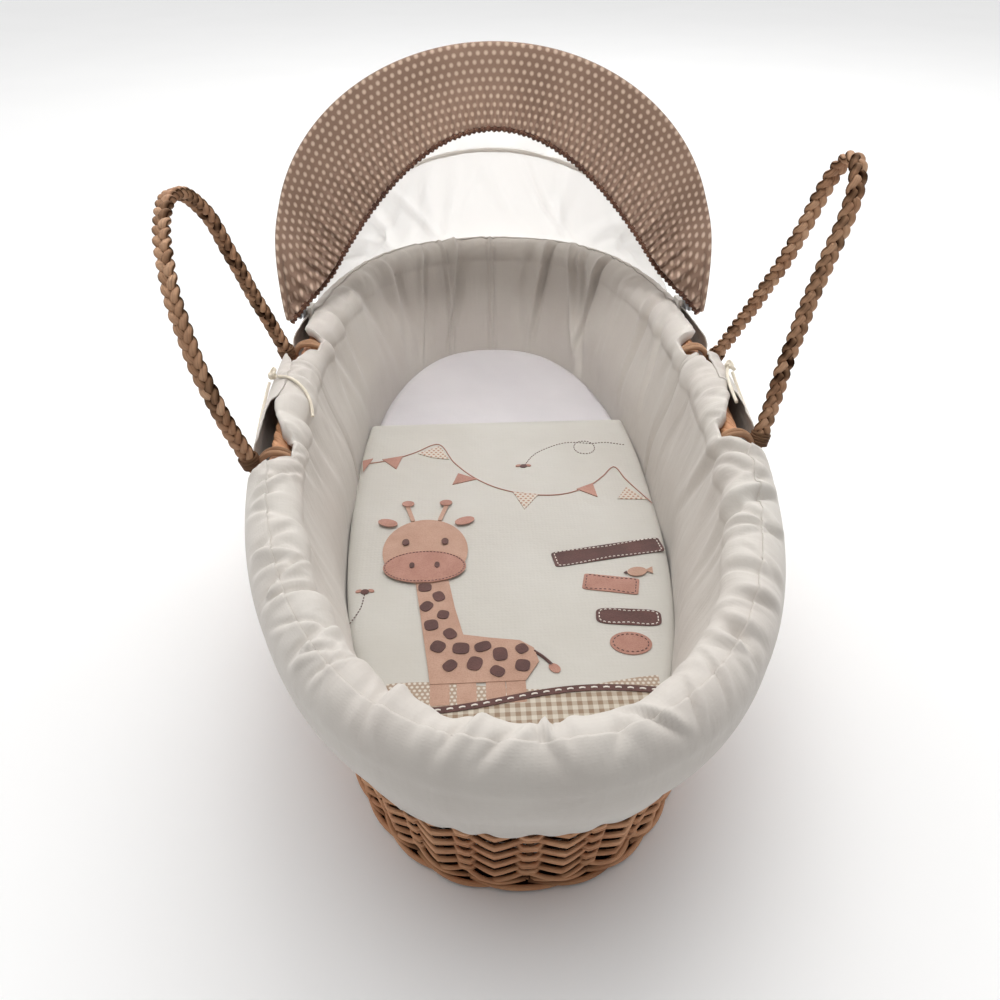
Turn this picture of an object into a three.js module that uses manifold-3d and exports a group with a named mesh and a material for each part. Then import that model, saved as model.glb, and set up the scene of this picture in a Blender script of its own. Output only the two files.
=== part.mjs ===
// A dressed moses basket: an oval wicker basket with two plaited carrying handles, a padded
// cotton liner with a gathered outer skirt, a mattress with its fitted sheet and quilt, and a
// folding hood on two wire hoops.
//
// Millimetres, +Z up. The origin is on the floor under the middle of the base. +Y points to the
// head end, where the hood is, and +X to the right-hand side.
import * as THREE from 'three';
import { mergeVertices } from 'three/addons/utils/BufferGeometryUtils.js';
import Module from 'manifold-3d';

const wasm = await Module();
wasm.setup();

// ---------------------------------------------------------------- driving dimensions
// Ovals are superellipses: a is the half length along Y, b the half width along X, n the power.
const FOOT_OVAL = { a: 364.5, b: 160.5, n: 2.48 }; // middle of the wall at the floor
const RIM_OVAL = { a: 414, b: 197, n: 2.27 }; // middle of the wicker border
const RIM_HEIGHT = 204; // border centre above the floor, at the sides
const HEAD_RISE = -18; // how much lower the border is at the head end
const FOOT_RISE = 10; // how much higher it is at the foot end
const STEPS = 44; // facets round every oval
const GAP = 0.3; // clearance between pieces that touch

const BASE_THICKNESS = 20;
const WALL_HALF = 4.5; // half the wicker wall's thickness
const UPPER_WALING_FROM = 150;
const BORDER_RADIUS = 10;

const PAD_THICKNESS = 16; // of the liner against the wall
const ROLL_RADIUS = 21; // of the padded roll over the border
const SKIRT_RADIUS = 22; // outer fabric over the roll
const SKIRT_THICKNESS = 2.8;
const HEM_HEIGHT = 113.5;
const HEM_OFFSET = 11.4; // the hem's outer side, out from the wall's middle
const HEM_ELASTIC = { offset: 6.6, above: 3, radius: 1.2 };
const SLOT_HALF = 16; // half the length of the openings that the handles swing in
const SHOULDER = 33; // where pad and skirt meet, in degrees up from the roll's outer side
const SLIT_BAND = { pad: 64, skirt: 19 }; // each slit opens from skirt to pad, in the same degrees
const SLOT_BAND = { pad: 118, skirt: -66 }; // and each handle's opening

const MATTRESS_TOP = 74;
const QUILT_TOP = 90;
const QUILT_HEAD_EDGE = 147; // the quilt stops here, so the sheet shows above it

const HANDLE_LEAN = 15; // degrees out from upright
const ROPE_RADIUS = 7;
const ROPE_OFFSET = 19.5; // from the swing axis to the middle of the rope
const EYE_RING = 14.8; // the eye that closes round the border
const EYE_WIRE = 3;

const HOOD_PIVOT = { y: 160, z: 222 };
const FRONT_TILT = 20; // degrees back from upright
const REAR_TILT = 64;
const HOOP_RADIUS = 2.2;
const PIN_RADIUS = 2.6;
const REAR_EYE_X = 206.3;
const FRONT_EYE_X = 211.5;
const FRONT_HOOP = { halfWidth: 226, rise: 187, centre: 70 };
const REAR_HOOP = { halfWidth: REAR_EYE_X, rise: 245, centre: 0 };
const BRIM_TOP = 181; // height of the brim's inner arch in the hoop's plane
const BRIM_HALF = 197; // its half width at the pivots
const BRIM_THICKNESS = 2.4;
const BRIM_FOOT = 16; // the brim starts this far above the pivots
const BRIM_FIRST = 0.085; // the share of the hoop below the brim's foot
const BRIM_ELASTIC_RADIUS = 1.6;
const PANEL_SPAN = [0.13, 0.87]; // the share of both hoops that the panels run along
const PANEL_THICKNESS = 1.2;
const PANEL_FREE = 6; // panels stop this far from the hoops

const TIE_Y = 15; // where the ribbon tie closes the slit
const TIE_RADIUS = 1.5;
const KNOT_RADIUS = 5;
const SLITS = [[-134, -2], [32, 176]]; // the two openings on each side, along Y

// Each handle swings about a line along Y inside the border, hinge mm from the middle, with its
// eyes at foot and head. The rope is given in its own plane: along Y, then up the leaning plane.
const HANDLES = {
  left: {
    side: -1, hinge: 193.5, foot: -106, head: 92,
    rope: [[-106, 0], [-112, 42], [-113, 84], [-104, 124], [-84, 163], [-50, 193], [-14, 205],
      [26, 196], [54, 169], [64, 126], [72, 82], [84, 36], [92, 0]],
  },
  right: {
    side: 1, hinge: 194.7, foot: -96, head: 66,
    rope: [[-96, 0], [-88, 34], [-76, 70], [-66, 112], [-59, 154], [-55, 194], [-42, 223],
      [-24, 232], [-7, 222], [2, 194], [5, 162], [12, 130], [28, 86], [46, 43], [66, 0]],
  },
};

// The free ribbon ends, as points on the padded roll: along Y, degrees round the roll, and
// distance from the border's centre.
const TIE_TAILS = {
  tie_tail_left_inner: {
    side: -1,
    route: [[9, 62, 25.5], [5, 82, 24], [-2, 104, 23.6], [-11, 128, 23.6], [-22, 150, 23.6],
      [-35, 168, 23.6]],
  },
  tie_tail_left_outer: {
    side: -1,
    route: [[7, 40, 27], [-4, 26, 25.2], [-17, 14, 24.6], [-31, 5, 24.6], [-46, -1, 24.6], [-60, -6, 24.6]],
  },
  tie_tail_right_upper: {
    side: 1,
    route: [[7, 52, 26], [-4, 58, 24.2], [-17, 64, 23.8], [-31, 68, 23.8], [-45, 70, 23.8], [-58, 71, 23.8]],
  },
  tie_tail_right_lower: {
    side: 1,
    route: [[7, 38, 27], [-5, 24, 25.2], [-19, 14, 24.6], [-34, 8, 24.6], [-49, 3, 24.6], [-64, 0, 24.6]],
  },
};

// ---------------------------------------------------------------- colours
const finish = (color, roughness, metalness = 0) =>
  new THREE.MeshStandardMaterial({ color, roughness, metalness });
const WICKER = finish(0xa87748, 0.7);
const PLAIT = finish(0xb18e6c, 0.75);
const COTTON = finish(0xe9e4d6, 0.9);
const SHEETING = finish(0xe6e2e8, 0.9);
const QUILTING = finish(0xece7d4, 0.9);
const VOILE = finish(0xf6f4ee, 0.9);
const DOTTED = finish(0x9b7a60, 0.85);
const RIBBON = finish(0xe4dccb, 0.8);
const WIRE = finish(0xb9bcc0, 0.35, 1);
const CLIP = finish(0xe8e6e0, 0.5);

// ---------------------------------------------------------------- ovals
const rad = THREE.MathUtils.degToRad;
const mix = THREE.MathUtils.lerp;
const signedPower = (value, power) => Math.sign(value) * Math.abs(value) ** power;

function ovalPoint(oval, offset, t) {
  const x = (oval.b + offset) * signedPower(Math.cos(t), 2 / oval.n);
  const y = (oval.a + offset) * signedPower(Math.sin(t), 2 / oval.n);
  return [x, y];
}

function wallOval(z) {
  const k = z / RIM_HEIGHT;
  return {
    a: mix(FOOT_OVAL.a, RIM_OVAL.a, k),
    b: mix(FOOT_OVAL.b, RIM_OVAL.b, k),
    n: mix(FOOT_OVAL.n, RIM_OVAL.n, k),
  };
}

// The border dips towards the head and climbs towards the foot, and the wall follows it.
function rise(y, z) {
  const end = y > 0 ? HEAD_RISE : FOOT_RISE;
  const share = Math.max(0, (z - BASE_THICKNESS) / (RIM_HEIGHT - BASE_THICKNESS));
  return end * Math.min(1, Math.abs(y) / RIM_OVAL.a) ** 4 * Math.min(1, share);
}

// A point on the leaning wall: offset outwards from its middle, at height z.
function wallPoint(t, offset, z) {
  const [x, y] = ovalPoint(wallOval(z), offset, t);
  return new THREE.Vector3(x, y, z + rise(y, z));
}

// A point round the border: radius from its centre, degrees up from its outer side.
function rimPoint(t, radius, degrees) {
  const [x, y] = ovalPoint(RIM_OVAL, radius * Math.cos(rad(degrees)), t);
  return new THREE.Vector3(x, y, RIM_HEIGHT + rise(y, RIM_HEIGHT) + radius * Math.sin(rad(degrees)));
}

// The same point where it passes a given y, on the right-hand side or mirrored to the left.
function rimPointAt(side, y, radius, degrees) {
  const reach = RIM_OVAL.a + radius * Math.cos(rad(degrees));
  const p = rimPoint(Math.asin(signedPower(y / reach, RIM_OVAL.n / 2)), radius, degrees);
  return new THREE.Vector3(side * p.x, p.y, p.z);
}

// ---------------------------------------------------------------- solids
function solidFrom(points, triangles) {
  let volume = 0;
  for (const [a, b, c] of triangles) {
    volume += points[a].dot(new THREE.Vector3().crossVectors(points[b], points[c]));
  }
  const faces = volume > 0 ? triangles : triangles.map(([a, b, c]) => [a, c, b]);
  const geometry = new THREE.BufferGeometry().setFromPoints(points);
  geometry.setIndex(faces.flat());
  geometry.computeVertexNormals();
  return geometry;
}

// Joins a row of matching outlines. A closed row makes a ring, an open one is capped by the
// triangles that fill its first outline.
function loft(outlines, closed, capShape) {
  const count = outlines[0].length;
  const spans = closed ? outlines.length : outlines.length - 1;
  const triangles = [];
  for (let i = 0; i < spans; i++) {
    const here = i * count;
    const next = ((i + 1) % outlines.length) * count;
    for (let j = 0; j < count; j++) {
      const k = (j + 1) % count;
      triangles.push([here + j, here + k, next + k], [here + j, next + k, next + j]);
    }
  }
  if (!closed) {
    const last = (outlines.length - 1) * count;
    for (const [a, b, c] of capShape) {
      triangles.push([c, b, a], [last + a, last + b, last + c]);
    }
  }
  return solidFrom(outlines.flat(), triangles);
}

// The triangles that fill a flat outline, turned the way the outline runs.
function capOf(outline) {
  const points = outline.map(([x, y]) => new THREE.Vector2(x, y));
  const triangles = THREE.ShapeUtils.triangulateShape(points, []);
  return THREE.ShapeUtils.isClockWise(points) ? triangles.map(([a, b, c]) => [c, b, a]) : triangles;
}

// A ring round the whole oval, from a function that gives the section at an angle.
function ring(section) {
  const outlines = [];
  for (let i = 0; i < STEPS; i++) outlines.push(section((i / STEPS) * 2 * Math.PI));
  return loft(outlines, true);
}

const wallBand = (inner, outer, low, high) => ring((t) => [
  wallPoint(t, inner, low), wallPoint(t, outer, low), wallPoint(t, outer, high), wallPoint(t, inner, high),
]);

function tubeRing(centre, radius, sides) {
  return ring((t) => {
    const outline = [];
    for (let i = 0; i < sides; i++) outline.push(centre(t, radius, (i / sides) * 360));
    return outline;
  });
}

// A stack of oval levels closed by flat faces, for plates and the mattress.
function ovalStack(levels) {
  const outlines = levels.map(({ oval, offset, z }) => {
    const outline = [];
    for (let i = 0; i < STEPS; i++) {
      const [x, y] = ovalPoint(oval, offset, (i / STEPS) * 2 * Math.PI);
      outline.push(new THREE.Vector3(x, y, z));
    }
    return outline;
  });
  return loft(outlines, false, capOf(outlines[0].map((p) => [p.x, p.y])));
}

// A section given as radius and degrees, in flat coordinates.
const flatSection = (polar) =>
  polar.map(([radius, degrees]) => [radius * Math.cos(rad(degrees)), radius * Math.sin(rad(degrees))]);

// A section swept along one side of the border between two places, to cut openings with.
function rimCutter(side, from, to, polar) {
  const outlines = [];
  const count = Math.max(1, Math.ceil((to - from) / 30));
  for (let i = 0; i <= count; i++) {
    const y = mix(from, to, i / count);
    outlines.push(polar.map(([radius, degrees]) => rimPointAt(side, y, radius, degrees)));
  }
  return loft(outlines, false, capOf(flatSection(polar)));
}

// The outline between two radii from one angle to another.
function arcBand(inner, outer, from, to) {
  const count = Math.max(2, Math.ceil(Math.abs(to - from) / 24));
  const outside = [];
  const inside = [];
  for (let i = 0; i <= count; i++) {
    const degrees = mix(from, to, i / count);
    outside.push([outer, degrees]);
    inside.unshift([inner, degrees]);
  }
  return [...outside, ...inside];
}

function box(width, length, height, x, y, z) {
  return new THREE.BoxGeometry(width, length, height).translate(x, y, z);
}

function rod(curve, radius, sides, steps) {
  const section = new THREE.Shape();
  for (let i = 0; i < sides; i++) {
    const angle = (i / sides) * 2 * Math.PI;
    const place = [radius * Math.cos(angle), radius * Math.sin(angle)];
    if (i === 0) section.moveTo(...place);
    else section.lineTo(...place);
  }
  section.closePath();
  return new THREE.ExtrudeGeometry(section, { extrudePath: curve, steps, bevelEnabled: false });
}

// ---------------------------------------------------------------- joins and cuts
function toManifold(geometry) {
  const bare = geometry.clone();
  bare.deleteAttribute('normal');
  bare.deleteAttribute('uv');
  const merged = mergeVertices(bare, 1e-4);
  return new wasm.Manifold(new wasm.Mesh({
    numProp: 3,
    vertProperties: new Float32Array(merged.attributes.position.array),
    triVerts: new Uint32Array(merged.index.array),
  }));
}

function toGeometry(manifold) {
  const mesh = manifold.getMesh();
  const geometry = new THREE.BufferGeometry();
  geometry.setAttribute('position', new THREE.BufferAttribute(mesh.vertProperties, 3));
  geometry.setIndex(new THREE.BufferAttribute(mesh.triVerts, 1));
  geometry.computeVertexNormals();
  return geometry;
}

function cut(geometry, cutters) {
  const whole = toManifold(geometry);
  return toGeometry(cutters.reduce((body, cutter) => body.subtract(toManifold(cutter)), whole));
}

function join(first, ...others) {
  return toGeometry(others.reduce((body, next) => body.add(toManifold(next)), toManifold(first)));
}

// ---------------------------------------------------------------- the assembly
const basket = new THREE.Group();

function piece(name, geometry, material) {
  const mesh = new THREE.Mesh(geometry, material);
  mesh.name = name;
  basket.add(mesh);
}

// ---------------------------------------------------------------- wicker basket
function eachHandleEnd(visit) {
  for (const { side, hinge, foot, head } of Object.values(HANDLES)) {
    visit(side, foot, hinge);
    visit(side, head, hinge);
  }
}

function wickerBasket() {
  const trac = WALL_HALF + 1.5; // the foot border stands a little proud of the wall
  const base = { oval: FOOT_OVAL, offset: -trac - GAP };
  piece('base_weave', ovalStack([{ ...base, z: 0 }, { ...base, z: BASE_THICKNESS }]), WICKER);
  piece('foot_border', wallBand(-trac, trac, 0, BASE_THICKNESS), WICKER);
  piece('side_weave', wallBand(-WALL_HALF, WALL_HALF, BASE_THICKNESS + GAP, UPPER_WALING_FROM), WICKER);

  const walingTop = RIM_HEIGHT - BORDER_RADIUS - 1.4; // clear of the border where it dips
  const windows = [];
  const sill = RIM_HEIGHT - EYE_RING - EYE_WIRE - 1.5;
  eachHandleEnd((side, y, hinge) => {
    windows.push(box(60, 2 * EYE_WIRE + 4, 30, side * hinge, y, sill + 15));
  });
  const waling = wallBand(-WALL_HALF, WALL_HALF, UPPER_WALING_FROM + GAP, walingTop);
  piece('upper_waling', cut(waling, windows), WICKER);
  piece('top_border', tubeRing(rimPoint, BORDER_RADIUS, 8), WICKER);
}

// ---------------------------------------------------------------- liner
function linerPad() {
  const inner = -WALL_HALF - 0.4;
  const face = inner - PAD_THICKNESS;
  const foot = BASE_THICKNESS + 2 * GAP;
  const core = BORDER_RADIUS + 1.4;
  const body = ring((t) => [
    wallPoint(t, face, foot),
    wallPoint(t, face, 100),
    ...[190, 160, 130, 105, 80, 56, SHOULDER].map((degrees) => rimPoint(t, ROLL_RADIUS, degrees)),
    ...[SHOULDER, 70, 110, 150, 195].map((degrees) => rimPoint(t, core, degrees)),
    wallPoint(t, inner, 187),
    wallPoint(t, inner, foot),
  ]);
  const cutters = [];
  for (const side of [-1, 1]) {
    for (const [from, to] of SLITS) {
      cutters.push(rimCutter(side, from, to, arcBand(core - 2, 30, 10, SLIT_BAND.pad)));
    }
    const hook = arcBand(core - 2, BORDER_RADIUS + 4.6, 20, 215);
    cutters.push(rimCutter(side, HOOD_PIVOT.y - 12, HOOD_PIVOT.y + 12, hook));
  }
  eachHandleEnd((side, y) => {
    cutters.push(rimCutter(side, y - SLOT_HALF, y + SLOT_HALF, arcBand(core - 2, 30, 10, SLOT_BAND.pad)));
    cutters.push(rimCutter(side, y - 6, y + 6, arcBand(core - 2, EYE_RING + EYE_WIRE + 1.5, 100, 300)));
  });
  piece('liner_pad', cut(body, cutters), COTTON);
}

function linerSkirt() {
  const inside = SKIRT_RADIUS - SKIRT_THICKNESS;
  const top = SHOULDER - 2;
  const body = ring((t) => [
    ...[top, 8, -12].map((degrees) => rimPoint(t, SKIRT_RADIUS, degrees)),
    wallPoint(t, HEM_OFFSET, HEM_HEIGHT),
    wallPoint(t, HEM_OFFSET - SKIRT_THICKNESS, HEM_HEIGHT),
    ...[-12, 8, top].map((degrees) => rimPoint(t, inside, degrees)),
  ]);
  const cutters = [];
  for (const side of [-1, 1]) {
    for (const [from, to] of SLITS) {
      cutters.push(rimCutter(side, from, to, arcBand(inside - 4, 30, SLIT_BAND.skirt, 60)));
    }
  }
  eachHandleEnd((side, y) => {
    cutters.push(rimCutter(side, y - SLOT_HALF, y + SLOT_HALF, arcBand(12, 40, SLOT_BAND.skirt, 60)));
  });
  piece('liner_skirt', cut(body, cutters), COTTON);
  const elastic = (t, radius, degrees) => wallPoint(
    t,
    HEM_ELASTIC.offset + radius * Math.cos(rad(degrees)),
    HEM_HEIGHT + HEM_ELASTIC.above + radius * Math.sin(rad(degrees)));
  piece('hem_elastic', tubeRing(elastic, HEM_ELASTIC.radius, 4), RIBBON);
}

// ---------------------------------------------------------------- bedding
const innerFace = WALL_HALF + 0.4 + PAD_THICKNESS; // from the wall's middle to the pad's face
const BEDDING_CLEARANCE = 1.6; // keeps the bedding off the padded wall

function beddingLevel(z, inset) {
  return { oval: wallOval(z), offset: -innerFace - BEDDING_CLEARANCE - inset, z };
}

function fittedSheet(inset, low) {
  const high = MATTRESS_TOP + GAP;
  const outlines = [
    beddingLevel(low, 0), beddingLevel(high + 1, 0), beddingLevel(high + 1, 40),
    beddingLevel(high, 40), beddingLevel(high, inset), beddingLevel(low, inset),
  ];
  const walls = ring((t) => outlines.map(({ oval, offset, z }) => {
    const [x, y] = ovalPoint(oval, offset, t);
    return new THREE.Vector3(x, y, z);
  }));
  const middle = [beddingLevel(high, 39), beddingLevel(high + 1, 39)];
  return join(walls, ovalStack(middle));
}

function quilt() {
  const low = MATTRESS_TOP + 2 * GAP + 1.2;
  const outline = new THREE.Shape();
  const { oval, offset } = beddingLevel(low, 0);
  const limit = QUILT_HEAD_EDGE / (oval.a + offset);
  const corner = Math.asin(signedPower(limit, oval.n / 2));
  const count = 40;
  for (let i = 0; i <= count; i++) {
    const t = mix(Math.PI - corner, 2 * Math.PI + corner, i / count);
    const place = ovalPoint(oval, offset, t);
    if (i === 0) outline.moveTo(...place);
    else outline.lineTo(...place);
  }
  outline.closePath();
  const depth = QUILT_TOP - low;
  return new THREE.ExtrudeGeometry(outline, { depth, steps: 1, bevelEnabled: false }).translate(0, 0, low);
}

function bedding() {
  const floorTop = BASE_THICKNESS + 2.2;
  piece('liner_floor', ovalStack([beddingLevel(BASE_THICKNESS + GAP, 0), beddingLevel(floorTop, 0)]), COTTON);
  const inset = 1.4;
  piece('mattress', ovalStack([
    beddingLevel(floorTop + GAP, inset), beddingLevel(48, inset), beddingLevel(MATTRESS_TOP, inset),
  ]), SHEETING);
  piece('fitted_sheet', fittedSheet(1, floorTop + 8), SHEETING);
  piece('quilt', quilt(), QUILTING);
}

// ---------------------------------------------------------------- handles
// The rope rises outside the border and each end closes round it in an eye.
function handle({ side, hinge, foot, head, rope }) {
  const lean = rad(HANDLE_LEAN);
  const up = new THREE.Vector3(side * Math.sin(lean), 0, Math.cos(lean));
  const start = new THREE.Vector3(
    side * (hinge + ROPE_OFFSET * Math.cos(lean)), 0, RIM_HEIGHT - ROPE_OFFSET * Math.sin(lean));
  const points = rope.map(([y, height]) =>
    start.clone().addScaledVector(up, height).add(new THREE.Vector3(0, y, 0)));
  const body = rod(new THREE.CatmullRomCurve3(points), ROPE_RADIUS, 8, 30);
  const eye = (y) => new THREE.TorusGeometry(EYE_RING, EYE_WIRE, 6, 16)
    .rotateX(Math.PI / 2).translate(side * hinge, y, RIM_HEIGHT);
  return join(body, eye(foot), eye(head));
}

// ---------------------------------------------------------------- hood
// A point in a hoop's tilted plane: x across, h up the plane, out along its rear normal.
function tilted(tilt, x, h, out = 0) {
  const angle = rad(tilt);
  return new THREE.Vector3(
    x,
    HOOD_PIVOT.y + h * Math.sin(angle) + out * Math.cos(angle),
    HOOD_PIVOT.z + h * Math.cos(angle) - out * Math.sin(angle));
}

// The hoop's outline: an ellipse that passes over both pivots, from u = 0 to u = 1.
function hoopPoint(hoop, u) {
  const dip = Math.asin(hoop.centre / hoop.rise);
  const angle = mix(-dip, Math.PI + dip, u);
  return [hoop.halfWidth * Math.cos(angle), hoop.centre + hoop.rise * Math.sin(angle)];
}

function hoop(shape, tilt, eyeX) {
  const points = [];
  const count = 24;
  for (let i = 0; i <= count; i++) {
    const [x, h] = hoopPoint(shape, i / count);
    const ends = i === 0 || i === count;
    points.push(ends ? tilted(tilt, Math.sign(x) * eyeX, 5.5) : tilted(tilt, x, Math.max(h, 8)));
  }
  const wire = rod(new THREE.CatmullRomCurve3(points), HOOP_RADIUS, 6, 30);
  const eye = (x) => new THREE.TorusGeometry(PIN_RADIUS + GAP + HOOP_RADIUS + 0.3, HOOP_RADIUS, 6, 12)
    .rotateY(Math.PI / 2).translate(x, HOOD_PIVOT.y, HOOD_PIVOT.z);
  return join(wire, eye(eyeX), eye(-eyeX));
}

const brimArch = (x) => BRIM_TOP * (1 - (x / BRIM_HALF) ** 2);
function brimEdge(count, visit) {
  const half = BRIM_HALF * Math.sqrt(1 - BRIM_FOOT / BRIM_TOP);
  for (let i = 0; i <= count; i++) {
    const x = mix(-half, half, i / count);
    visit(x, brimArch(x));
  }
}

function brim() {
  const outline = new THREE.Shape();
  const count = 32;
  const inset = HOOP_RADIUS + 0.5;
  const outer = {
    halfWidth: FRONT_HOOP.halfWidth - inset,
    rise: FRONT_HOOP.rise - inset,
    centre: FRONT_HOOP.centre,
  };
  for (let i = 0; i <= count; i++) {
    const place = hoopPoint(outer, mix(BRIM_FIRST, 1 - BRIM_FIRST, i / count));
    if (i === 0) outline.moveTo(...place);
    else outline.lineTo(...place);
  }
  brimEdge(count, (x, h) => outline.lineTo(x, h));
  outline.closePath();
  return new THREE.ExtrudeGeometry(outline, { depth: BRIM_THICKNESS, steps: 1, bevelEnabled: false })
    .translate(0, 0, -BRIM_THICKNESS / 2)
    .rotateX(Math.PI / 2 - rad(FRONT_TILT))
    .translate(0, HOOD_PIVOT.y, HOOD_PIVOT.z);
}

function brimElastic() {
  const points = [];
  const drop = BRIM_ELASTIC_RADIUS + 0.8; // clear of the brim's edge
  brimEdge(24, (x, h) => points.push(tilted(FRONT_TILT, x * 0.985, h - drop)));
  return rod(new THREE.CatmullRomCurve3(points), BRIM_ELASTIC_RADIUS, 5, 24);
}

// A thin sheet through a grid of points, given as rows of equal length.
function sheet(rows, thickness) {
  const count = rows[0].length;
  const outlines = [];
  for (let j = 0; j < count; j++) {
    const lower = [];
    const upper = [];
    for (let i = 0; i < rows.length; i++) {
      const here = rows[i][j];
      const along = new THREE.Vector3()
        .subVectors(rows[i][Math.min(j + 1, count - 1)], rows[i][Math.max(j - 1, 0)]);
      const across = new THREE.Vector3()
        .subVectors(rows[Math.min(i + 1, rows.length - 1)][j], rows[Math.max(i - 1, 0)][j]);
      const normal = new THREE.Vector3().crossVectors(along, across).setLength(thickness / 2);
      upper.push(here.clone().add(normal));
      lower.unshift(here.clone().sub(normal));
    }
    outlines.push([...upper, ...lower]);
  }
  const bow = (i) => 0.1 * i * (rows.length - 1 - i); // no three cap points in line
  const flat = [];
  for (let i = 0; i < rows.length; i++) flat.push([i, 1 + bow(i)]);
  for (let i = rows.length - 1; i >= 0; i--) flat.push([i, -bow(i)]);
  return loft(outlines, false, capOf(flat));
}

const BACK_FROM = rad(30.5); // where the back panel's hem starts round the rim oval

function topPanel() {
  const rows = [[], [], []];
  const count = 20;
  for (let j = 0; j <= count; j++) {
    const u = mix(...PANEL_SPAN, j / count);
    const front = tilted(FRONT_TILT, ...hoopPoint(FRONT_HOOP, u));
    const rear = tilted(REAR_TILT, ...hoopPoint(REAR_HOOP, u));
    const share = PANEL_FREE / front.distanceTo(rear);
    rows.forEach((row, i) => row.push(front.clone().lerp(rear, mix(share, 1 - share, i / 2))));
  }
  return sheet(rows, PANEL_THICKNESS);
}

function backPanel() {
  const rows = [[], [], [], []];
  const count = 20;
  const outside = SKIRT_RADIUS + 6;
  for (let j = 0; j <= count; j++) {
    const u = mix(...PANEL_SPAN, j / count);
    const hem = mix(BACK_FROM, Math.PI - BACK_FROM, j / count);
    const rear = tilted(REAR_TILT, ...hoopPoint(REAR_HOOP, u));
    const over = rimPoint(hem, outside, 38);
    const share = PANEL_FREE / rear.distanceTo(over);
    rows[0].push(rear.clone().lerp(over, share));
    rows[1].push(over);
    rows[2].push(rimPoint(hem, outside + 0.8, 5));
    rows[3].push(rimPoint(hem, outside + 9, -48));
  }
  return sheet(rows, PANEL_THICKNESS);
}

// A hook that grips the border, with a post and the stub pin that both hoops turn on.
function hoodBracket(side) {
  const centre = rimPointAt(1, HOOD_PIVOT.y, 0, 0);
  const turn = Math.atan2(
    rimPointAt(1, HOOD_PIVOT.y - 5, 0, 0).x - rimPointAt(1, HOOD_PIVOT.y + 5, 0, 0).x, 10);
  const section = new THREE.Shape(
    flatSection(arcBand(BORDER_RADIUS + 0.9, BORDER_RADIUS + 3.6, -50, 208))
      .map(([x, y]) => new THREE.Vector2(x, y)));
  const hook = new THREE.ExtrudeGeometry(section, { depth: 18, steps: 1, bevelEnabled: false })
    .translate(0, 0, -9).rotateX(Math.PI / 2).rotateZ(turn)
    .translate(centre.x, HOOD_PIVOT.y, centre.z);
  const post = box(4.5, 14, 18, 12.2, 0, 16.5).rotateZ(turn).translate(centre.x, HOOD_PIVOT.y, centre.z);
  const pin = new THREE.CylinderGeometry(PIN_RADIUS, PIN_RADIUS, 14.5, 16)
    .rotateZ(Math.PI / 2).translate(FRONT_EYE_X + HOOP_RADIUS - 7, HOOD_PIVOT.y, HOOD_PIVOT.z);
  const body = toManifold(join(hook, post, pin));
  return toGeometry(side > 0 ? body : body.mirror([1, 0, 0]));
}

function hoodCap(side) {
  const thickness = 3;
  return new THREE.CylinderGeometry(6, 6, thickness, 16).rotateZ(Math.PI / 2)
    .translate(side * (FRONT_EYE_X + HOOP_RADIUS + 0.6 + thickness / 2), HOOD_PIVOT.y, HOOD_PIVOT.z);
}

function hood() {
  for (const [name, side] of [['left', -1], ['right', 1]]) {
    piece(`hood_bracket_${name}`, hoodBracket(side), CLIP);
    piece(`hood_cap_${name}`, hoodCap(side), CLIP);
  }
  piece('hood_front_hoop', hoop(FRONT_HOOP, FRONT_TILT, FRONT_EYE_X), WIRE);
  piece('hood_rear_hoop', hoop(REAR_HOOP, REAR_TILT, REAR_EYE_X), WIRE);
  piece('hood_brim', brim(), DOTTED);
  piece('hood_brim_elastic', brimElastic(), DOTTED);
  piece('hood_top_panel', topPanel(), VOILE);
  piece('hood_back_panel', backPanel(), VOILE);
}

// ---------------------------------------------------------------- ribbon ties
function ties() {
  for (const [name, side] of [['left', -1], ['right', 1]]) {
    const knot = new THREE.IcosahedronGeometry(KNOT_RADIUS, 1);
    const place = rimPointAt(side, TIE_Y, SKIRT_RADIUS + 6, 46);
    piece(`tie_knot_${name}`, knot.translate(place.x, place.y, place.z), RIBBON);
  }
  for (const [name, { side, route }] of Object.entries(TIE_TAILS)) {
    const points = route.map(([y, degrees, radius]) => rimPointAt(side, y, radius, degrees));
    piece(name, rod(new THREE.CatmullRomCurve3(points), TIE_RADIUS, 8, 14), RIBBON);
  }
}

wickerBasket();
linerPad();
linerSkirt();
bedding();
for (const [name, shape] of Object.entries(HANDLES)) piece(`handle_${name}`, handle(shape), PLAIT);
hood();
ties();

export default basket;
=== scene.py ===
"""Looks of a dressed moses basket: woven wicker, plaited handles, a gathered liner, bedding and a hood.

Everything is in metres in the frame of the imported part: +Y is the head end, +X the right-hand side, and the
origin is on the floor under the middle of the base.
"""
import math

import bmesh
import bpy
import numpy as np
from mathutils import Matrix, Vector


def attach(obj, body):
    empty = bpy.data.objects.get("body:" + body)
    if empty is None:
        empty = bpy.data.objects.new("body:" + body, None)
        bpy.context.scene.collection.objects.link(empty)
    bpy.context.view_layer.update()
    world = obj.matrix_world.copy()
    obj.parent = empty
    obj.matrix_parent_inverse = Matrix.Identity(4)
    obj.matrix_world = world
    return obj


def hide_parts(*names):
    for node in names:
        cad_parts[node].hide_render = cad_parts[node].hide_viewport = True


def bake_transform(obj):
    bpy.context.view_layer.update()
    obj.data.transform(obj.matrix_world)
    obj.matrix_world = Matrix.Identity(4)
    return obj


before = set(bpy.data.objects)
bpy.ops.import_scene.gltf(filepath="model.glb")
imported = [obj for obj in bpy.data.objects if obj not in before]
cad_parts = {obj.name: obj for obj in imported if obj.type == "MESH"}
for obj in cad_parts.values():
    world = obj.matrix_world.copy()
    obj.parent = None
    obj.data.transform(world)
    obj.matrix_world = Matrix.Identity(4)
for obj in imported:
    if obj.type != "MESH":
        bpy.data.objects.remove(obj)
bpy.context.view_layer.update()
MM = 0.001

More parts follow.
